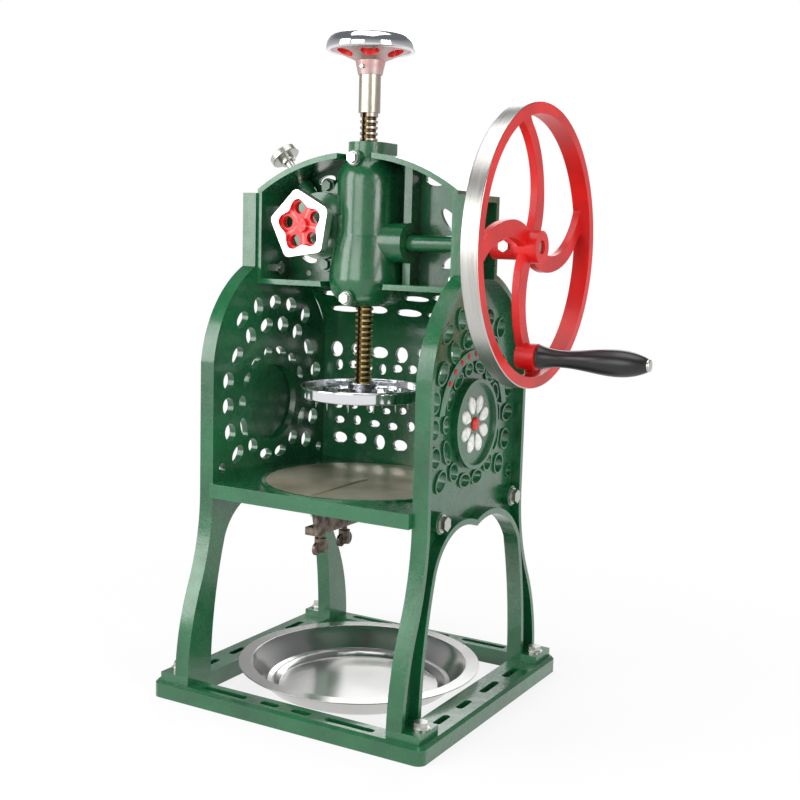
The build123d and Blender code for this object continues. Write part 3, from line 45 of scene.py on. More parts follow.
camera_dip = math.radians(7.53)
camera_tilt = math.radians(1.6)
camera = bpy.data.objects.new("camera", bpy.data.cameras.new("camera"))
bpy.context.scene.collection.objects.link(camera)
camera.data.sensor_width = sensor_width
camera.data.lens = focal_pixels / photo_width * sensor_width
camera.matrix_world = (
    Matrix.Translation(camera_place)
    @ Matrix.Rotation(camera_heading, 4, "Z")
    @ Matrix.Rotation(math.radians(90.0) - camera_dip, 4, "X")
    @ Matrix.Rotation(camera_tilt, 4, "Z")
)
bpy.context.scene.camera = camera
bpy.context.scene.view_settings.view_transform = "Standard"

# ---- Table top and backdrop
# A plain white sweep. It shows as white to the eye and in reflections, and takes
# only the machine's soft shadow, which fades out with the distance from it.


def linear(code):
    """An sRGB hex colour as linear red, green, blue and alpha."""
    parts = [int(code[i : i + 2], 16) / 255.0 for i in (1, 3, 5)]
    return [c / 12.92 if c <= 0.04045 else ((c + 0.055) / 1.055) ** 2.4 for c in parts] + [1.0]


def add(tree, kind, settings, links=()):
    """Adds a node, sets its values, properties and colour stops, and links sockets into it."""
    node = tree.nodes.new(kind)
    for name, value in settings.items():
        if name == "stops":
            for stop, (position, colour) in zip(node.color_ramp.elements, value):
                stop.position = position
                stop.color = linear(colour)
        elif isinstance(name, int) or name in node.inputs:
            node.inputs[name].default_value = value
        else:
            setattr(node, name, value)
    for name, source in links:
        tree.links.new(source, node.inputs[name])
    return node


def new_material(name):
    """An empty material, its nodes, and the socket with the piece's own coordinates."""
    material = bpy.data.materials.new(name)
    material.use_nodes = True
    tree = material.node_tree
    tree.nodes.clear()
    return material, tree, add(tree, "ShaderNodeTexCoord", {}).outputs["Object"]


table_half = 9.0
shadow_near = 0.25
shadow_far = 0.75
shadow_share = 0.2
table_white, tree, where = new_material("white_table")
paint = add(tree, "ShaderNodeBsdfDiffuse", {"Color": linear("#f4f4f4")})
glow = add(tree, "ShaderNodeEmission", {"Color": linear("#ffffff"), "Strength": 1.0})
path = add(tree, "ShaderNodeLightPath", {})
reach = add(tree, "ShaderNodeVectorMath", {"operation": "LENGTH"}, [(0, where)])
fade = add(
    tree,
    "ShaderNodeMapRange",
    {"From Min": shadow_near, "From Max": shadow_far, "To Min": 1.0 - shadow_share, "To Max": 1.0},
    [("Value", reach.outputs["Value"])],
)
direct = add(
    tree,
    "ShaderNodeMath",
    {"operation": "MAXIMUM"},
    [(0, path.outputs["Is Camera Ray"]), (1, path.outputs["Is Transmission Ray"])],
)
shiny = add(
    tree,
    "ShaderNodeMath",
    {"operation": "MAXIMUM"},
    [(0, direct.outputs[0]), (1, path.outputs["Is Glossy Ray"])],
)
seen = add(
    tree,
    "ShaderNodeMath",
    {"operation": "MULTIPLY"},
    [(0, shiny.outputs[0]), (1, fade.outputs["Result"])],
)
mix = add(
    tree,
    "ShaderNodeMixShader",
    {},
    [(0, seen.outputs[0]), (1, paint.outputs[0]), (2, glow.outputs[0])],
)
add(tree, "ShaderNodeOutputMaterial", {}, [("Surface", mix.outputs[0])])
table = bpy.data.meshes.new("table_top")
sheet = bmesh.new()
bmesh.ops.create_grid(sheet, x_segments=1, y_segments=1, size=table_half)
sheet.to_mesh(table)
sheet.free()
table.materials.append(table_white)
table_top = bpy.data.objects.new("table_top", table)
bpy.context.scene.collection.objects.link(table_top)

# ---- Studio
# A pale room, bright low down and grey overhead, which the camera sees as plain white.
# Five soft boxes hang in it, all turned to the middle of the machine.
world = bpy.data.worlds.new("studio")
bpy.context.scene.world = world
world.use_nodes = True
tree = world.node_tree
tree.nodes.clear()
path = add(tree, "ShaderNodeLightPath", {})
white = add(tree, "ShaderNodeBackground", {"Color": linear("#ffffff"), "Strength": 1.0})
sky = add(tree, "ShaderNodeTexCoord", {})
upward = add(tree, "ShaderNodeSeparateXYZ", {}, [(0, sky.outputs["Generated"])])
bands = add(
    tree,
    "ShaderNodeValToRGB",
    {"stops": ((0.0, "#ffffff"), (0.55, "#8b8e90"))},
    [(0, upward.outputs["Z"])],
)
room = add(tree, "ShaderNodeBackground", {"Strength": 0.7}, [("Color", bands.outputs[0])])
mix = add(
    tree,
    "ShaderNodeMixShader",
    {},
    [(0, path.outputs["Is Camera Ray"]), (1, room.outputs[0]), (2, white.outputs[0])],
)
add(tree, "ShaderNodeOutputWorld", {}, [("Surface", mix.outputs[0])])
machine_middle = Vector((0.0, 0.0, 0.35))
for name, place, size, watts in (
    ("left_softbox", (-1.45, -1.7, 1.0), (1.1, 1.5), 26.0),
    ("front_softbox", (-0.1, -2.2, 0.95), (1.25, 1.2), 17.0),
    ("right_softbox", (2.0, -0.7, 0.9), (0.9, 1.4), 20.0),
    ("top_softbox", (0.0, -0.2, 2.3), (1.6, 1.6), 24.0),
    ("rear_softbox", (-0.6, 1.9, 1.4), (1.4, 1.0), 14.0),
):
    lamp = bpy.data.lights.new(name, "AREA")
    lamp.shape = "RECTANGLE"
    lamp.size, lamp.size_y = size
    lamp.energy = watts
    holder = bpy.data.objects.new(name, lamp)
    aim = (machine_middle - Vector(place)).to_track_quat("-Z", "Y")
    holder.matrix_world = Matrix.Translation(place) @ aim.to_matrix().to_4x4()
    bpy.context.scene.collection.objects.link(holder)

# ---- Green castings: base, side frames, shelf, head, cases and back panel
# Sand-cast iron, dipped in bottle-green gloss enamel. The enamel keeps the grain of the sand and
# lies thicker in some patches than in others. Its edges carry a painted highlight: they are
# painted a paler green.


def repeats(millimetres):
    """How often a pattern of that size comes in one metre, as a texture's scale."""
    return 1000.0 / millimetres


# The real sand is finer than 1 mm. It is drawn at 2.4 mm, so that it shows.
enamel_green, tree, where = new_material("green_enamel_on_sand_cast_iron")
sand = add(
    tree,
    "ShaderNodeTexNoise",
    {"Scale": repeats(2.381), "Detail": 3.0, "Roughness": 0.55},
    [("Vector", where)],
)
waves = add(
    tree,
    "ShaderNodeTexNoise",
    {"Scale": repeats(16.667), "Detail": 2.0, "Roughness": 0.5},
    [("Vector", where)],
)
patches = add(
    tree,
    "ShaderNodeTexNoise",
    {"Scale": repeats(71.429), "Detail": 4.0, "Roughness": 0.6},
    [("Vector", where)],
)
tone = add(
    tree,
    "ShaderNodeValToRGB",
    {"stops": ((0.3, "#0f4a2b"), (0.72, "#17653a"))},
    [(0, patches.outputs["Fac"])],
)
# Painted highlight: the sharpest edges, found by pointiness, are mixed towards a paler green.
edge = add(tree, "ShaderNodeNewGeometry", {})
pale_edge_highlight = add(
    tree,
    "ShaderNodeValToRGB",
    {"stops": ((0.53, "#000000"), (0.62, "#ffffff"))},
    [(0, edge.outputs["Pointiness"])],
)
edge_highlight_share = add(tree, "ShaderNodeMath", {"operation": "MULTIPLY", 1: 0.35}, [(0, pale_edge_highlight.outputs[0])])
coat = add(
    tree,
    "ShaderNodeMix",
    {"data_type": "RGBA", 7: linear("#3f8a60")},
    [(0, edge_highlight_share.outputs[0]), (6, tone.outputs[0])],
)
rough = add(
    tree,
    "ShaderNodeMapRange",
    {"From Min": 0.3, "From Max": 0.7, "To Min": 0.16, "To Max": 0.34},
    [("Value", waves.outputs["Fac"])],
)
height = add(
    tree,
    "ShaderNodeMath",
    {"operation": "MULTIPLY_ADD", 1: 2.2},
    [(0, waves.outputs["Fac"]), (2, sand.outputs["Fac"])],
)
grain = add(
    tree,
    "ShaderNodeBump",
    {"Strength": 0.35, "Distance": 0.0006},
    [("Height", height.outputs[0])],
)
body = add(
    tree,
    "ShaderNodeBsdfPrincipled",
    {"IOR": 1.5, "Coat Weight": 0.6, "Coat Roughness": 0.14},
    [
        ("Base Color", coat.outputs[2]),
        ("Roughness", rough.outputs[0]),
        ("Normal", grain.outputs[0]),
    ],
)
add(tree, "ShaderNodeOutputMaterial", {}, [("Surface", body.outputs[0])])


weld_distance = 0.000002
level_within = math.radians(0.05)


def finished_copy(
    node, body_name, coats, round_off=0.0, smooth_below=32.0, sort=None, polished=None
):
    """A copy of a CAD piece with its triangles joined, its edges eased and its coats put on.
    Edges that polished names are rounded first, by the radius that comes with it."""
    shape = bmesh.new()
    shape.from_mesh(nodes[node].data)
    bmesh.ops.remove_doubles(shape, verts=shape.verts, dist=weld_distance)
    bmesh.ops.dissolve_limit(
        shape, angle_limit=level_within, verts=shape.verts, edges=shape.edges
    )
    corner = math.radians(smooth_below)
    rounds = []
    if polished:
        rounds.append((polished[1], 5, polished[0]))
    if round_off:
        rounds.append((round_off, 2, None))
    for radius, steps, chosen in rounds:
        sharp = [
            e
            for e in shape.edges
            if len(e.link_faces) == 2
            and e.calc_face_angle(0.0) > corner
            and (chosen is None or chosen((e.verts[0].co + e.verts[1].co) / 2.0))
        ]
        bmesh.ops.bevel(
            shape,
            geom=sharp,
            affect="EDGES",
            offset=radius,
            offset_type="OFFSET",
            segments=steps,
            profile=0.5,
            clamp_overlap=True,
            material=-1,
        )
    for face in shape.faces:
        face.smooth = True
        face.material_index = sort(face) if sort else 0
    for e in shape.edges:
        e.smooth = len(e.link_faces) == 2 and e.calc_face_angle(0.0) < corner
    mesh = bpy.data.meshes.new(node + "_finished")
    shape.to_mesh(mesh)
    shape.free()
    for coat in coats:
        mesh.materials.append(coat)
    piece = bpy.data.objects.new(node + "_finished", mesh)
    bpy.context.scene.collection.objects.link(piece)
    level = piece.modifiers.new("level_shading", "WEIGHTED_NORMAL")
    level.keep_sharp = True
    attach(piece, body_name)
    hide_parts(node)
    return piece


# Cast edges are rounder than machined ones: about 1 mm on the heavy castings.
for node, round_off in (
    ("base_frame", 0.0008),
    ("side_frame_left", 0.0009),
    ("side_frame_right", 0.0009),
    ("shelf", 0.0010),
    ("head_casting", 0.0009),
    ("back_panel", 0.0006),
    ("gear_case", 0.0012),
    ("feed_housing", 0.0012),
    ("shaft_sleeve", 0.0004),
):
    finished_copy(node, "frame", [enamel_green], round_off)

# ---- Flower on each side frame's medallion, and studs on the band over it
# Cast in relief and picked out by brush: white petals round a red button, red studs. The
# enamel is thick and slightly uneven.


def brushed_enamel(name, dark, light):
    """Thick enamel that shows the strokes of a small brush, about 6 mm wide."""
    material, tree, where = new_material(name)
    strokes = add(
        tree, "ShaderNodeTexNoise", {"Scale": repeats(6.25), "Detail": 3.0}, [("Vector", where)]
    )
    tone = add(
        tree,
        "ShaderNodeValToRGB",
        {"stops": ((0.3, dark), (0.6, light))},
        [(0, strokes.outputs["Fac"])],
    )
    ridges = add(
        tree,
        "ShaderNodeBump",
        {"Strength": 0.3, "Distance": 0.0004},
        [("Height", strokes.outputs["Fac"])],
    )
    body = add(
        tree,
        "ShaderNodeBsdfPrincipled",
        {"IOR": 1.5, "Roughness": 0.35},
        [("Base Color", tone.outputs[0]), ("Normal", ridges.outputs[0])],
    )
    add(tree, "ShaderNodeOutputMaterial", {}, [("Surface", body.outputs[0])])
    return material


petal_white = brushed_enamel("white_brushed_enamel", "#c9cec6", "#f1f2ee")
stud_red = brushed_enamel("red_brushed_enamel", "#a81414", "#d42620")
medallion = Vector((0.0, 0.007, 0.302))
dish_face = 0.1296
petals = 8
petal_start = 0.0095
petal_length = 0.0225
petal_width = 0.0150
petal_rise = 0.0024
petal_taper = 0.28
petal_point = 0.25
petal_top = 0.72
button_radius = 0.0076
button_rise = 0.003
button_top = 0.75
band_face = 0.1287
band_radius = 0.071
studs_on_band = 9
stud_radius = 0.0036
stud_rise = 0.0015
stud_top = 0.7
first_stud = 40.0
stud_arc = 100.0


def relief(shape, rise, narrower, place):
    """Raises a closed outline into a low relief with a sloped and rounded edge."""
    top = bmesh.ops.extrude_face_region(shape, geom=shape.faces[:])
    raised = [v for v in top["geom"] if isinstance(v, bmesh.types.BMVert)]
    bmesh.ops.translate(shape, verts=raised, vec=(0.0, 0.0, rise))
    middle = sum((v.co for v in raised), Vector()) / len(raised)
    bmesh.ops.scale(
        shape,
        verts=raised,
        vec=(narrower, narrower, 1.0),
        space=Matrix.Translation(-middle),
    )
    loop = [e for e in shape.edges if all(v in raised for v in e.verts)]
    bmesh.ops.bevel(
        shape,
        geom=loop,
        affect="EDGES",
        offset=rise * 0.4,
        offset_type="OFFSET",
        segments=3,
        profile=0.5,
        material=-1,
    )
    bmesh.ops.transform(shape, matrix=place, verts=shape.verts)


def join_to(whole, part):
    """Adds one raised part to the others of its piece."""
    passing = bpy.data.meshes.new("passing")
    part.to_mesh(passing)
    part.free()
    whole.from_mesh(passing)
    bpy.data.meshes.remove(passing)


def finish_relief(name, shape, coat):
    """Makes the raised parts one piece of the side frame, in its coat."""
    bmesh.ops.recalc_face_normals(shape, faces=shape.faces)
    for face in shape.faces:
        face.smooth = True
    mesh = bpy.data.meshes.new(name)
    shape.to_mesh(mesh)
    shape.free()
    mesh.materials.append(coat)
    piece = bpy.data.objects.new(name, mesh)
    bpy.context.scene.collection.objects.link(piece)
    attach(piece, "frame")


for side, side_name in ((1.0, "right"), (-1.0, "left")):
    outward = Matrix.Rotation(math.radians(90.0 * side), 4, "Y")
    on_dish = Matrix.Translation(medallion + Vector((side * dish_face, 0.0, 0.0)))
    flower = bmesh.new()
    for number in range(petals):
        petal = bmesh.new()
        bmesh.ops.create_circle(petal, cap_ends=True, segments=28, radius=1.0)
        for v in petal.verts:
            along = v.co.x
            v.co.x = along * petal_length / 2.0
            v.co.y *= petal_width / 2.0
            v.co.y *= (1.0 + petal_taper * along) * (1.0 - petal_point * along * along)
        turn = Matrix.Rotation(2.0 * math.pi * (number + 0.5) / petals, 4, "X")
        out = Matrix.Translation((petal_start + petal_length / 2.0, 0.0, 0.0))
        relief(petal, petal_rise, petal_top, on_dish @ turn @ outward @ out)
        join_to(flower, petal)
    finish_relief("medallion_petals_" + side_name, flower, petal_white)
    button = bmesh.new()
    bmesh.ops.create_circle(button, cap_ends=True, segments=32, radius=button_radius)
    relief(button, button_rise, button_top, on_dish @ outward)
    finish_relief("medallion_button_" + side_name, button, stud_red)
    studs = bmesh.new()
    for number in range(studs_on_band):
        stud = bmesh.new()
        bmesh.ops.create_circle(stud, cap_ends=True, segments=4, radius=stud_radius)
        lean = math.radians(first_stud + stud_arc * number / (studs_on_band - 1.0))
        spot = Vector(
            (side * band_face, band_radius * math.cos(lean), band_radius * math.sin(lean))
        )
        turn = Matrix.Rotation(lean, 4, "X")
        place = Matrix.Translation(medallion + spot) @ turn @ outward
        relief(stud, stud_rise, stud_top, place)
        join_to(studs, stud)
    finish_relief("band_studs_" + side_name, studs, stud_red)

# ---- Bolts, nuts, washers, screws, shafts and gears
# Mild steel, cut and zinc plated: a cool grey with a faint yellow cast, in patches of about
# 4 mm. The bolts of the feed housing were painted over with the castings.
zinc, tree, where = new_material("bright_zinc_plate")
spangle = add(
    tree, "ShaderNodeTexNoise", {"Scale": repeats(3.8462), "Detail": 3.0}, [("Vector", where)]
)
tone = add(
    tree,
    "ShaderNodeValToRGB",
    {"stops": ((0.0, "#a3a39c"), (1.0, "#d2d2cc"))},
    [(0, spangle.outputs["Fac"])],
)
rough = add(
    tree,
    "ShaderNodeMapRange",
    {"To Min": 0.22, "To Max": 0.42},
    [("Value", spangle.outputs["Fac"])],
)
grain = add(
    tree,
    "ShaderNodeBump",
    {"Strength": 0.15, "Distance": 0.0002},
    [("Height", spangle.outputs["Fac"])],
)
body = add(
    tree,
    "ShaderNodeBsdfPrincipled",
    {"Metallic": 1.0},
    [
        ("Base Color", tone.outputs[0]),
        ("Roughness", rough.outputs[0]),
        ("Normal", grain.outputs[0]),
    ],
)
add(tree, "ShaderNodeOutputMaterial", {}, [("Surface", body.outputs[0])])


def coat_node(node, material):
    """Puts a material on a CAD piece that stays as it is."""
    nodes[node].data.materials.clear()
    nodes[node].data.materials.append(material)


for node in (
    "foot_bolts",
    "foot_nuts",
    "foot_washers",
    "shelf_bolts",
    "shelf_washers",
    "head_bolts",
    "head_washers",
    "head_nuts",
    "panel_screws",
    "case_bolts",
    "bush_lock_screws",
    "bush_lock_washers",
    "pinion_pin",
    "flywheel_set_screw",
    "knob_grub_screw",
    "handwheel_set_screw",
    "plate_nut",
    "plate_spikes",
    "feather_key",
    "crank_shaft",
    "bevel_pinion",
    "drive_gear",
    "knob_shaft",
    "knob_gear",
    "brake_drum",
    "brake_screw",
    "handle_pin",
):
    coat_node(node, zinc)
coat_node("feed_housing_bolts", enamel_green)

# ---- Blade holder and its wing screws
# A mild steel bracket under the shelf, blackened in hot oil and rubbed back to a brown grey by
# the wet of the ice. Two wing screws of the same steel clamp the blade in it.
blackened, tree, where = new_material("oil_blackened_steel")
stain = add(
    tree, "ShaderNodeTexNoise", {"Scale": repeats(9.0909), "Detail": 4.0}, [("Vector", where)]
)
tone = add(
    tree,
    "ShaderNodeValToRGB",
    {"stops": ((0.35, "#403836"), (0.7, "#8b7d70"))},
    [(0, stain.outputs["Fac"])],
)
rough = add(
    tree,
    "ShaderNodeMapRange",
    {"To Min": 0.34, "To Max": 0.5},
    [("Value", stain.outputs["Fac"])],
)
body = add(
    tree,
    "ShaderNodeBsdfPrincipled",
    {"Metallic": 1.0},
    [("Base Color", tone.outputs[0]), ("Roughness", rough.outputs[0])],
)
add(tree, "ShaderNodeOutputMaterial", {}, [("Surface", body.outputs[0])])
for node in ("blade_holder", "wing_screw_front", "wing_screw_rear"):
    coat_node(node, blackened)

# ---- Bushes, feed nut and brake shoe
# Cast bronze, bored and turned: a mottled brown gold. The bushes are pressed into the iron
# castings, and nearly all of the bronze is hidden.
bronze, tree, where = new_material("turned_bronze")
mottle = add(
    tree, "ShaderNodeTexNoise", {"Scale": repeats(3.3333), "Detail": 2.0}, [("Vector", where)]
)
tone = add(
    tree,
    "ShaderNodeValToRGB",
    {"stops": ((0.0, "#7d5a2c"), (1.0, "#b98d4c"))},
    [(0, mottle.outputs["Fac"])],
)
body = add(
    tree,
    "ShaderNodeBsdfPrincipled",
    {"Metallic": 1.0, "Roughness": 0.35},
    [("Base Color", tone.outputs[0])],
)
add(tree, "ShaderNodeOutputMaterial", {}, [("Surface", body.outputs[0])])
for node in (
    "spindle_bush",
    "nut_bush",
    "crank_bush_inner",
    "crank_bush_outer",
    "brake_shoe",
    "feed_nut",
):
    coat_node(node, bronze)

# ---- Ice table and blade
# A steel disc let into the ring of the shelf. Its face is ground in straight lines, dulled and
# stained by handling. The blade is the same steel, bare.
# The grinding lines are drawn 1.1 mm apart, coarser than real ones, so that they show.
ground, tree, where = new_material("ground_steel")
lines = add(
    tree,
    "ShaderNodeMapping",
    {
        "Scale": (repeats(71.429), repeats(1.1111), repeats(1.1111)),
        "Rotation": (0.0, 0.0, math.radians(35.0)),
    },
    [("Vector", where)],
)
scratches = add(
    tree,
    "ShaderNodeTexNoise",
    {"Scale": 1.0, "Detail": 2.0},
    [("Vector", lines.outputs[0])],
)
stain = add(
    tree, "ShaderNodeTexNoise", {"Scale": repeats(55.556), "Detail": 4.0}, [("Vector", where)]
)
tone = add(
    tree,
    "ShaderNodeValToRGB",
    {"stops": ((0.3, "#b0a48c"), (0.7, "#eae1ce"))},
    [(0, stain.outputs["Fac"])],
)
rough = add(
    tree,
    "ShaderNodeMapRange",
    {"To Min": 0.26, "To Max": 0.5},
    [("Value", scratches.outputs["Fac"])],
)
grain = add(
    tree,
    "ShaderNodeBump",
    {"Strength": 0.2, "Distance": 0.0002},
    [("Height", scratches.outputs["Fac"])],
)
body = add(
    tree,
    "ShaderNodeBsdfPrincipled",
    {"Metallic": 0.75, "Anisotropic": 0.5},
    [
        ("Base Color", tone.outputs[0]),
        ("Roughness", rough.outputs[0]),
        ("Normal", grain.outputs[0]),
    ],
)
add(tree, "ShaderNodeOutputMaterial", {}, [("Surface", body.outputs[0])])
finished_copy("table_plate", "frame", [ground], 0.0003)
coat_node("blade", ground)

# ---- Flywheel
# One iron casting. The faces, spokes and hub are brushed with bright red enamel; the rim's
# outside is turned bare on the lathe and shows bright steel with fine rings.
# The sand's grain is drawn at 3.3 mm, coarser than it is, so that it shows under the enamel.
enamel_red, tree, where = new_material("red_enamel_on_sand_cast_iron")
sand = add(
    tree, "ShaderNodeTexNoise", {"Scale": repeats(3.3333), "Detail": 3.0}, [("Vector", where)]
)
patches = add(
    tree, "ShaderNodeTexNoise", {"Scale": repeats(45.455), "Detail": 3.0}, [("Vector", where)]
)
tone = add(
    tree,
    "ShaderNodeValToRGB",
    {"stops": ((0.3, "#b80c0e"), (0.7, "#dd1713"))},
    [(0, patches.outputs["Fac"])],
)
grain = add(
    tree,
    "ShaderNodeBump",
    {"Strength": 0.3, "Distance": 0.0004},
    [("Height", sand.outputs["Fac"])],
)
body = add(
    tree,
    "ShaderNodeBsdfPrincipled",
    {"IOR": 1.45, "Roughness": 0.42, "Coat Weight": 0.15, "Coat Roughness": 0.2},
    [("Base Color", tone.outputs[0]), ("Normal", grain.outputs[0])],
)
add(tree, "ShaderNodeOutputMaterial", {}, [("Surface", body.outputs[0])])

# The lathe's rings run round the rim, 0.6 mm apart.
turned, tree, where = new_material("lathe_turned_steel")
lines = add(
    tree,
    "ShaderNodeMapping",
    {"Scale": (repeats(0.625), repeats(50.0), repeats(50.0))},
    [("Vector", where)],
)
rings = add(
    tree,
    "ShaderNodeTexNoise",
    {"Scale": 1.0, "Detail": 2.0},
    [("Vector", lines.outputs[0])],
)
tone = add(
    tree,
    "ShaderNodeValToRGB",
    {"stops": ((0.0, "#a9a6a1"), (1.0, "#dad8d4"))},
    [(0, rings.outputs["Fac"])],
)
rough = add(
    tree,
    "ShaderNodeMapRange",
    {"To Min": 0.2, "To Max": 0.42},
    [("Value", rings.outputs["Fac"])],
)
body = add(
    tree,
    "ShaderNodeBsdfPrincipled",
    {"Metallic": 1.0},
    [("Base Color", tone.outputs[0]), ("Roughness", rough.outputs[0])],
)
add(tree, "ShaderNodeOutputMaterial", {}, [("Surface", body.outputs[0])])
shaft_height = 0.4815
bare_beyond = 0.1362


def rim_or_face(face):
    """The turned outside of the rim is bare; everything else is red."""
    centre = face.calc_center_median()
    return 1 if math.hypot(centre.y, centre.z - shaft_height) > bare_beyond else 0


finished_copy(
    "flywheel", "crank", [enamel_red, turned], 0.0010, sort=rim_or_face
)

# ---- Handle grip
# Turned hardwood under black gloss lacquer, loose on its steel pin. The lacquer ripples a
# little where it bridges the pores, which run along the grip.
lacquer, tree, where = new_material("black_lacquered_wood")
lines = add(
    tree,
    "ShaderNodeMapping",
    {"Scale": (repeats(83.333), repeats(3.8462), repeats(3.8462))},
    [("Vector", where)],
)
pores = add(
    tree,
    "ShaderNodeTexNoise",
    {"Scale": 1.0, "Detail": 3.0},
    [("Vector", lines.outputs[0])],
)
tone = add(
    tree,
    "ShaderNodeValToRGB",
    {"stops": ((0.0, "#0c0c0d"), (1.0, "#202022"))},
    [(0, pores.outputs["Fac"])],
)
grain = add(
    tree,
    "ShaderNodeBump",
    {"Strength": 0.2, "Distance": 0.0003},
    [("Height", pores.outputs["Fac"])],
)
body = add(
    tree,
    "ShaderNodeBsdfPrincipled",
    {"IOR": 1.5, "Roughness": 0.3},
    [("Base Color", tone.outputs[0]), ("Normal", grain.outputs[0])],
)
add(tree, "ShaderNodeOutputMaterial", {}, [("Surface", body.outputs[0])])
finished_copy("handle_grip", "grip", [lacquer], smooth_below=50.0)

# ---- Handwheel and pressure plate
# Steel turnings with bright chrome plate, fixed to the ends of the feed screw. The handwheel's
# dished web is red on top and left bare underneath, with a haze of red over the bare steel.
chrome, tree, where = new_material("bright_chrome_plate")
smears = add(
    tree, "ShaderNodeTexNoise", {"Scale": repeats(33.333), "Detail": 3.0}, [("Vector", where)]
)
rough = add(
    tree,
    "ShaderNodeMapRange",
    {"To Min": 0.05, "To Max": 0.13},
    [("Value", smears.outputs["Fac"])],
)
body = add(
    tree,
    "ShaderNodeBsdfPrincipled",
    {"Metallic": 1.0, "Base Color": linear("#dfe0e3")},
    [("Roughness", rough.outputs[0])],
)
add(tree, "ShaderNodeOutputMaterial", {}, [("Surface", body.outputs[0])])
hazed, tree, where = new_material("bare_steel_with_red_overspray")
mist = add(
    tree, "ShaderNodeTexNoise", {"Scale": repeats(8.3333), "Detail": 4.0}, [("Vector", where)]
)
tone = add(
    tree,
    "ShaderNodeValToRGB",
    {"stops": ((0.35, "#b9b2ae"), (0.7, "#c98f8c"))},
    [(0, mist.outputs["Fac"])],
)
body = add(
    tree,
    "ShaderNodeBsdfPrincipled",
    {"Metallic": 0.8, "Roughness": 0.38},
    [("Base Color", tone.outputs[0])],
)
add(tree, "ShaderNodeOutputMaterial", {}, [("Surface", body.outputs[0])])
rim_inside = 0.0405
rim_foot = 0.6736
web_foot = 0.6665


def rim_web_or_hub(face):
    """Chrome on the rim, red on the top of the web, bare steel underneath and on the hub."""
    centre = face.calc_center_median()
    if math.hypot(centre.x, centre.y) > rim_inside and centre.z > rim_foot:
        return 0
    return 1 if face.normal.z > -0.2 and centre.z > web_foot else 2


wheel = finished_copy(
    "handwheel", "spindle", [chrome, enamel_red, hazed], 0.0006, sort=rim_web_or_hub
)
# The rim is rolled over inwards at the top. Its section is spun round the screw, and the
# wheel's own straight rim is drawn in to lie inside its wall.
core_radius = 0.0425
core_low = 0.6748
core_high = 0.6820
for point in wheel.data.vertices:
    radius = math.hypot(point.co.x, point.co.y)
    if radius > rim_inside:
        drawn_in = min(radius, core_radius) / radius
        point.co.x *= drawn_in
        point.co.y *= drawn_in
        point.co.z = min(max(point.co.z, core_low), core_high)
rolled = bmesh.new()
section = [
    rolled.verts.new((radius / 1000.0, 0.0, height / 1000.0))
    for radius, height in (
        (41.8, 674.0),
        (44.4, 674.1),
        (45.5, 675.2),
        (45.6, 677.2),
        (45.4, 679.8),
        (44.8, 682.4),
        (43.6, 685.0),
        (42.0, 687.2),
        (40.2, 688.8),
        (38.4, 689.7),
        (37.0, 690.0),
        (36.0, 689.7),
        (35.7, 688.9),
        (36.2, 688.0),
        (37.8, 686.8),
        (39.4, 685.2),
        (40.5, 683.2),
        (41.0, 680.8),
        (41.0, 677.6),
        (41.0, 675.0),
    )
]
for first, second in zip(section, section[1:] + section[:1]):
    rolled.edges.new((first, second))
bmesh.ops.spin(
    rolled,
    geom=rolled.verts[:] + rolled.edges[:],
    cent=(0.0, 0.0, 0.0),
    axis=(0.0, 0.0, 1.0),
    angle=2.0 * math.pi,
    steps=96,
    use_merge=True,
)
bmesh.ops.recalc_face_normals(rolled, faces=rolled.faces)
for face in rolled.faces:
    face.smooth = True
mesh = bpy.data.meshes.new("handwheel_rim")
rolled.to_mesh(mesh)
rolled.free()
mesh.materials.append(chrome)
rim = bpy.data.objects.new("handwheel_rim", mesh)
bpy.context.scene.collection.objects.link(rim)
rounder = rim.modifiers.new("rounder", "SUBSURF")
rounder.levels = rounder.render_levels = 1
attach(rim, "spindle")
plate_rim = 0.0650


def on_plate_rim(middle):
    """The edges of the plate's rim, which are polished round."""
    return math.hypot(middle.x, middle.y) > plate_rim


finished_copy(
    "pressure_plate", "spindle", [chrome], 0.0005, polished=(on_plate_rim, 0.0022)
)

# ---- Feed screw
# Bright steel bar with a square thread and a keyway. The lower half runs in grease, which has
# turned its plating yellow. The roots of the thread are drawn darker.
grease_full = 0.47
grease_end = 0.55
thread_root = 0.0076
thread_crest = 0.0090
greased, tree, where = new_material("plated_steel_screw_with_grease")
film = add(
    tree, "ShaderNodeTexNoise", {"Scale": repeats(11.111), "Detail": 3.0}, [("Vector", where)]
)
axes = add(tree, "ShaderNodeSeparateXYZ", {}, [(0, where)])
clean = add(
    tree,
    "ShaderNodeValToRGB",
    {"stops": ((0.0, "#928b7d"), (1.0, "#cbc5b8"))},
    [(0, film.outputs["Fac"])],
)
yellow = add(
    tree,
    "ShaderNodeValToRGB",
    {"stops": ((0.0, "#9c854c"), (1.0, "#dcc890"))},
    [(0, film.outputs["Fac"])],
)
height = add(
    tree,
    "ShaderNodeMapRange",
    {"From Min": grease_full, "From Max": grease_end},
    [("Value", axes.outputs["Z"])],
)
upper = add(
    tree,
    "ShaderNodeMix",
    {"data_type": "RGBA"},
    [(0, height.outputs["Result"]), (6, yellow.outputs[0]), (7, clean.outputs[0])],
)
flat = add(
    tree, "ShaderNodeCombineXYZ", {}, [("X", axes.outputs["X"]), ("Y", axes.outputs["Y"])]
)
depth = add(tree, "ShaderNodeVectorMath", {"operation": "LENGTH"}, [(0, flat.outputs[0])])
root = add(
    tree,
    "ShaderNodeMapRange",
    {"From Min": thread_root, "From Max": thread_crest},
    [("Value", depth.outputs["Value"])],
)
tone = add(
    tree,
    "ShaderNodeMix",
    {"data_type": "RGBA", 6: linear("#54462c")},
    [(0, root.outputs["Result"]), (7, upper.outputs[2])],
)
body = add(
    tree,
    "ShaderNodeBsdfPrincipled",
    {"Metallic": 1.0, "Roughness": 0.34},
    [("Base Color", tone.outputs[2])],
)
add(tree, "ShaderNodeOutputMaterial", {}, [("Surface", body.outputs[0])])
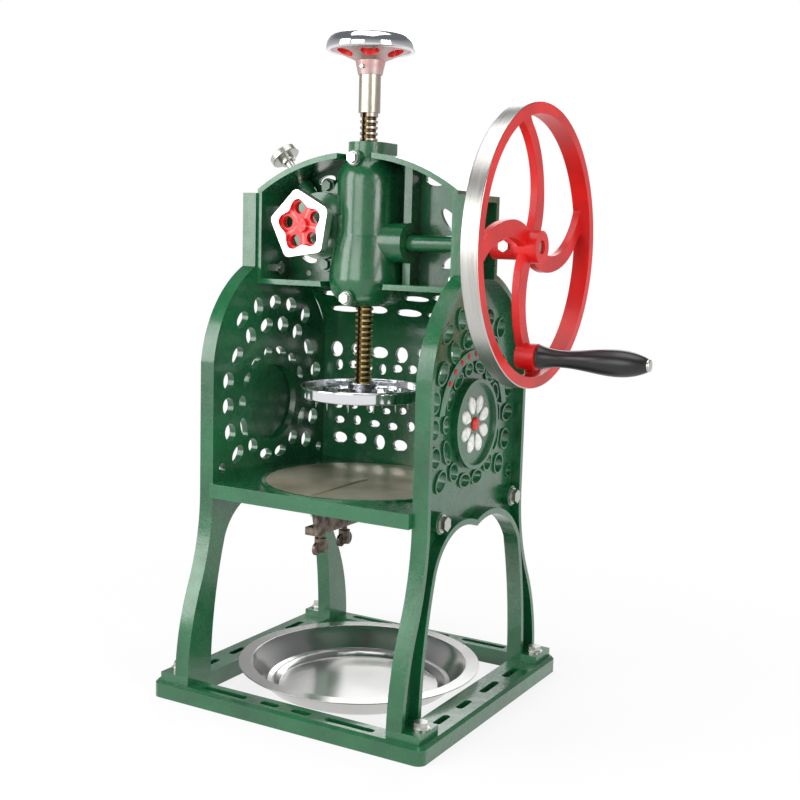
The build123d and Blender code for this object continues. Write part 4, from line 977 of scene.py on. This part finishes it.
coat_node("spindle", greased)

# ---- Feed knob and brake head
# A five-cornered iron casting with a polished, nickel-plated face. The five-lobed hollow in
# its face is filled with red enamel, which thins to pink on the ridges between the lobes. The
# brake screw's knurled head is zinc-plated steel.
knob_axle = (-0.052, 0.0, 0.497)
lobe_turn = math.radians(26.6)
hollow_radius = 0.0238
lobe_depth = 0.0032
enamel_ahead_of = -0.0365
nickel_and_red, tree, where = new_material("nickel_plate_with_red_enamel_hollow")
axle = add(
    tree,
    "ShaderNodeVectorMath",
    {"operation": "ADD", 1: tuple(-c for c in knob_axle)},
    [(0, where)],
)
axes = add(tree, "ShaderNodeSeparateXYZ", {}, [(0, axle.outputs[0])])
angle = add(
    tree,
    "ShaderNodeMath",
    {"operation": "ARCTAN2"},
    [(0, axes.outputs["Z"]), (1, axes.outputs["X"])],
)
fifths = add(
    tree,
    "ShaderNodeMath",
    {"operation": "MULTIPLY_ADD", 1: 5.0, 2: -5.0 * lobe_turn},
    [(0, angle.outputs[0])],
)
wave = add(tree, "ShaderNodeMath", {"operation": "COSINE"}, [(0, fifths.outputs[0])])
flat = add(
    tree, "ShaderNodeCombineXYZ", {}, [("X", axes.outputs["X"]), ("Y", axes.outputs["Z"])]
)
radius = add(tree, "ShaderNodeVectorMath", {"operation": "LENGTH"}, [(0, flat.outputs[0])])
lobes = add(
    tree,
    "ShaderNodeMath",
    {"operation": "MULTIPLY_ADD", 1: lobe_depth, 2: hollow_radius},
    [(0, wave.outputs[0])],
)
inside = add(
    tree,
    "ShaderNodeMath",
    {"operation": "LESS_THAN"},
    [(0, radius.outputs["Value"]), (1, lobes.outputs[0])],
)
ahead = add(
    tree,
    "ShaderNodeMath",
    {"operation": "LESS_THAN", 1: enamel_ahead_of},
    [(0, axes.outputs["Y"])],
)
red = add(
    tree,
    "ShaderNodeMath",
    {"operation": "MULTIPLY"},
    [(0, inside.outputs[0]), (1, ahead.outputs[0])],
)
ridge = add(
    tree,
    "ShaderNodeMapRange",
    {"From Min": -1.0, "From Max": -0.86, "To Min": 1.0, "To Max": 0.0},
    [("Value", wave.outputs[0])],
)
thin = add(
    tree,
    "ShaderNodeMix",
    {"data_type": "RGBA", 6: linear("#d8171a"), 7: linear("#e8807c")},
    [(0, ridge.outputs["Result"])],
)
tone = add(
    tree,
    "ShaderNodeMix",
    {"data_type": "RGBA", 6: linear("#e4e3e1")},
    [(0, red.outputs[0]), (7, thin.outputs[2])],
)
bare = add(tree, "ShaderNodeMath", {"operation": "SUBTRACT", 0: 1.0}, [(1, red.outputs[0])])
grit = add(
    tree, "ShaderNodeTexNoise", {"Scale": repeats(4.1667), "Detail": 2.0}, [("Vector", where)]
)
rough = add(
    tree,
    "ShaderNodeMapRange",
    {"To Min": 0.26, "To Max": 0.4},
    [("Value", grit.outputs["Fac"])],
)
body = add(
    tree,
    "ShaderNodeBsdfPrincipled",
    {},
    [
        ("Base Color", tone.outputs[2]),
        ("Metallic", bare.outputs[0]),
        ("Roughness", rough.outputs[0]),
    ],
)
add(tree, "ShaderNodeOutputMaterial", {}, [("Surface", body.outputs[0])])
finished_copy("feed_knob", "feed_knob", [nickel_and_red], 0.0006)
finished_copy("brake_screw_head", "brake_screw", [zinc], 0.0003)

# ---- Tray
# Spun and polished stainless steel sheet, standing loose inside the base. Fingers have left
# it with smears, duller and brighter patches about 60 mm across.
stainless, tree, where = new_material("spun_stainless_steel")
smears = add(
    tree, "ShaderNodeTexNoise", {"Scale": repeats(62.5), "Detail": 3.0}, [("Vector", where)]
)
rough = add(
    tree,
    "ShaderNodeMapRange",
    {"To Min": 0.14, "To Max": 0.26},
    [("Value", smears.outputs["Fac"])],
)
body = add(
    tree,
    "ShaderNodeBsdfPrincipled",
    {"Metallic": 1.0, "Base Color": linear("#c9c8c6")},
    [("Roughness", rough.outputs[0])],
)
add(tree, "ShaderNodeOutputMaterial", {}, [("Surface", body.outputs[0])])
finished_copy("tray", "tray", [stainless], 0.0003)
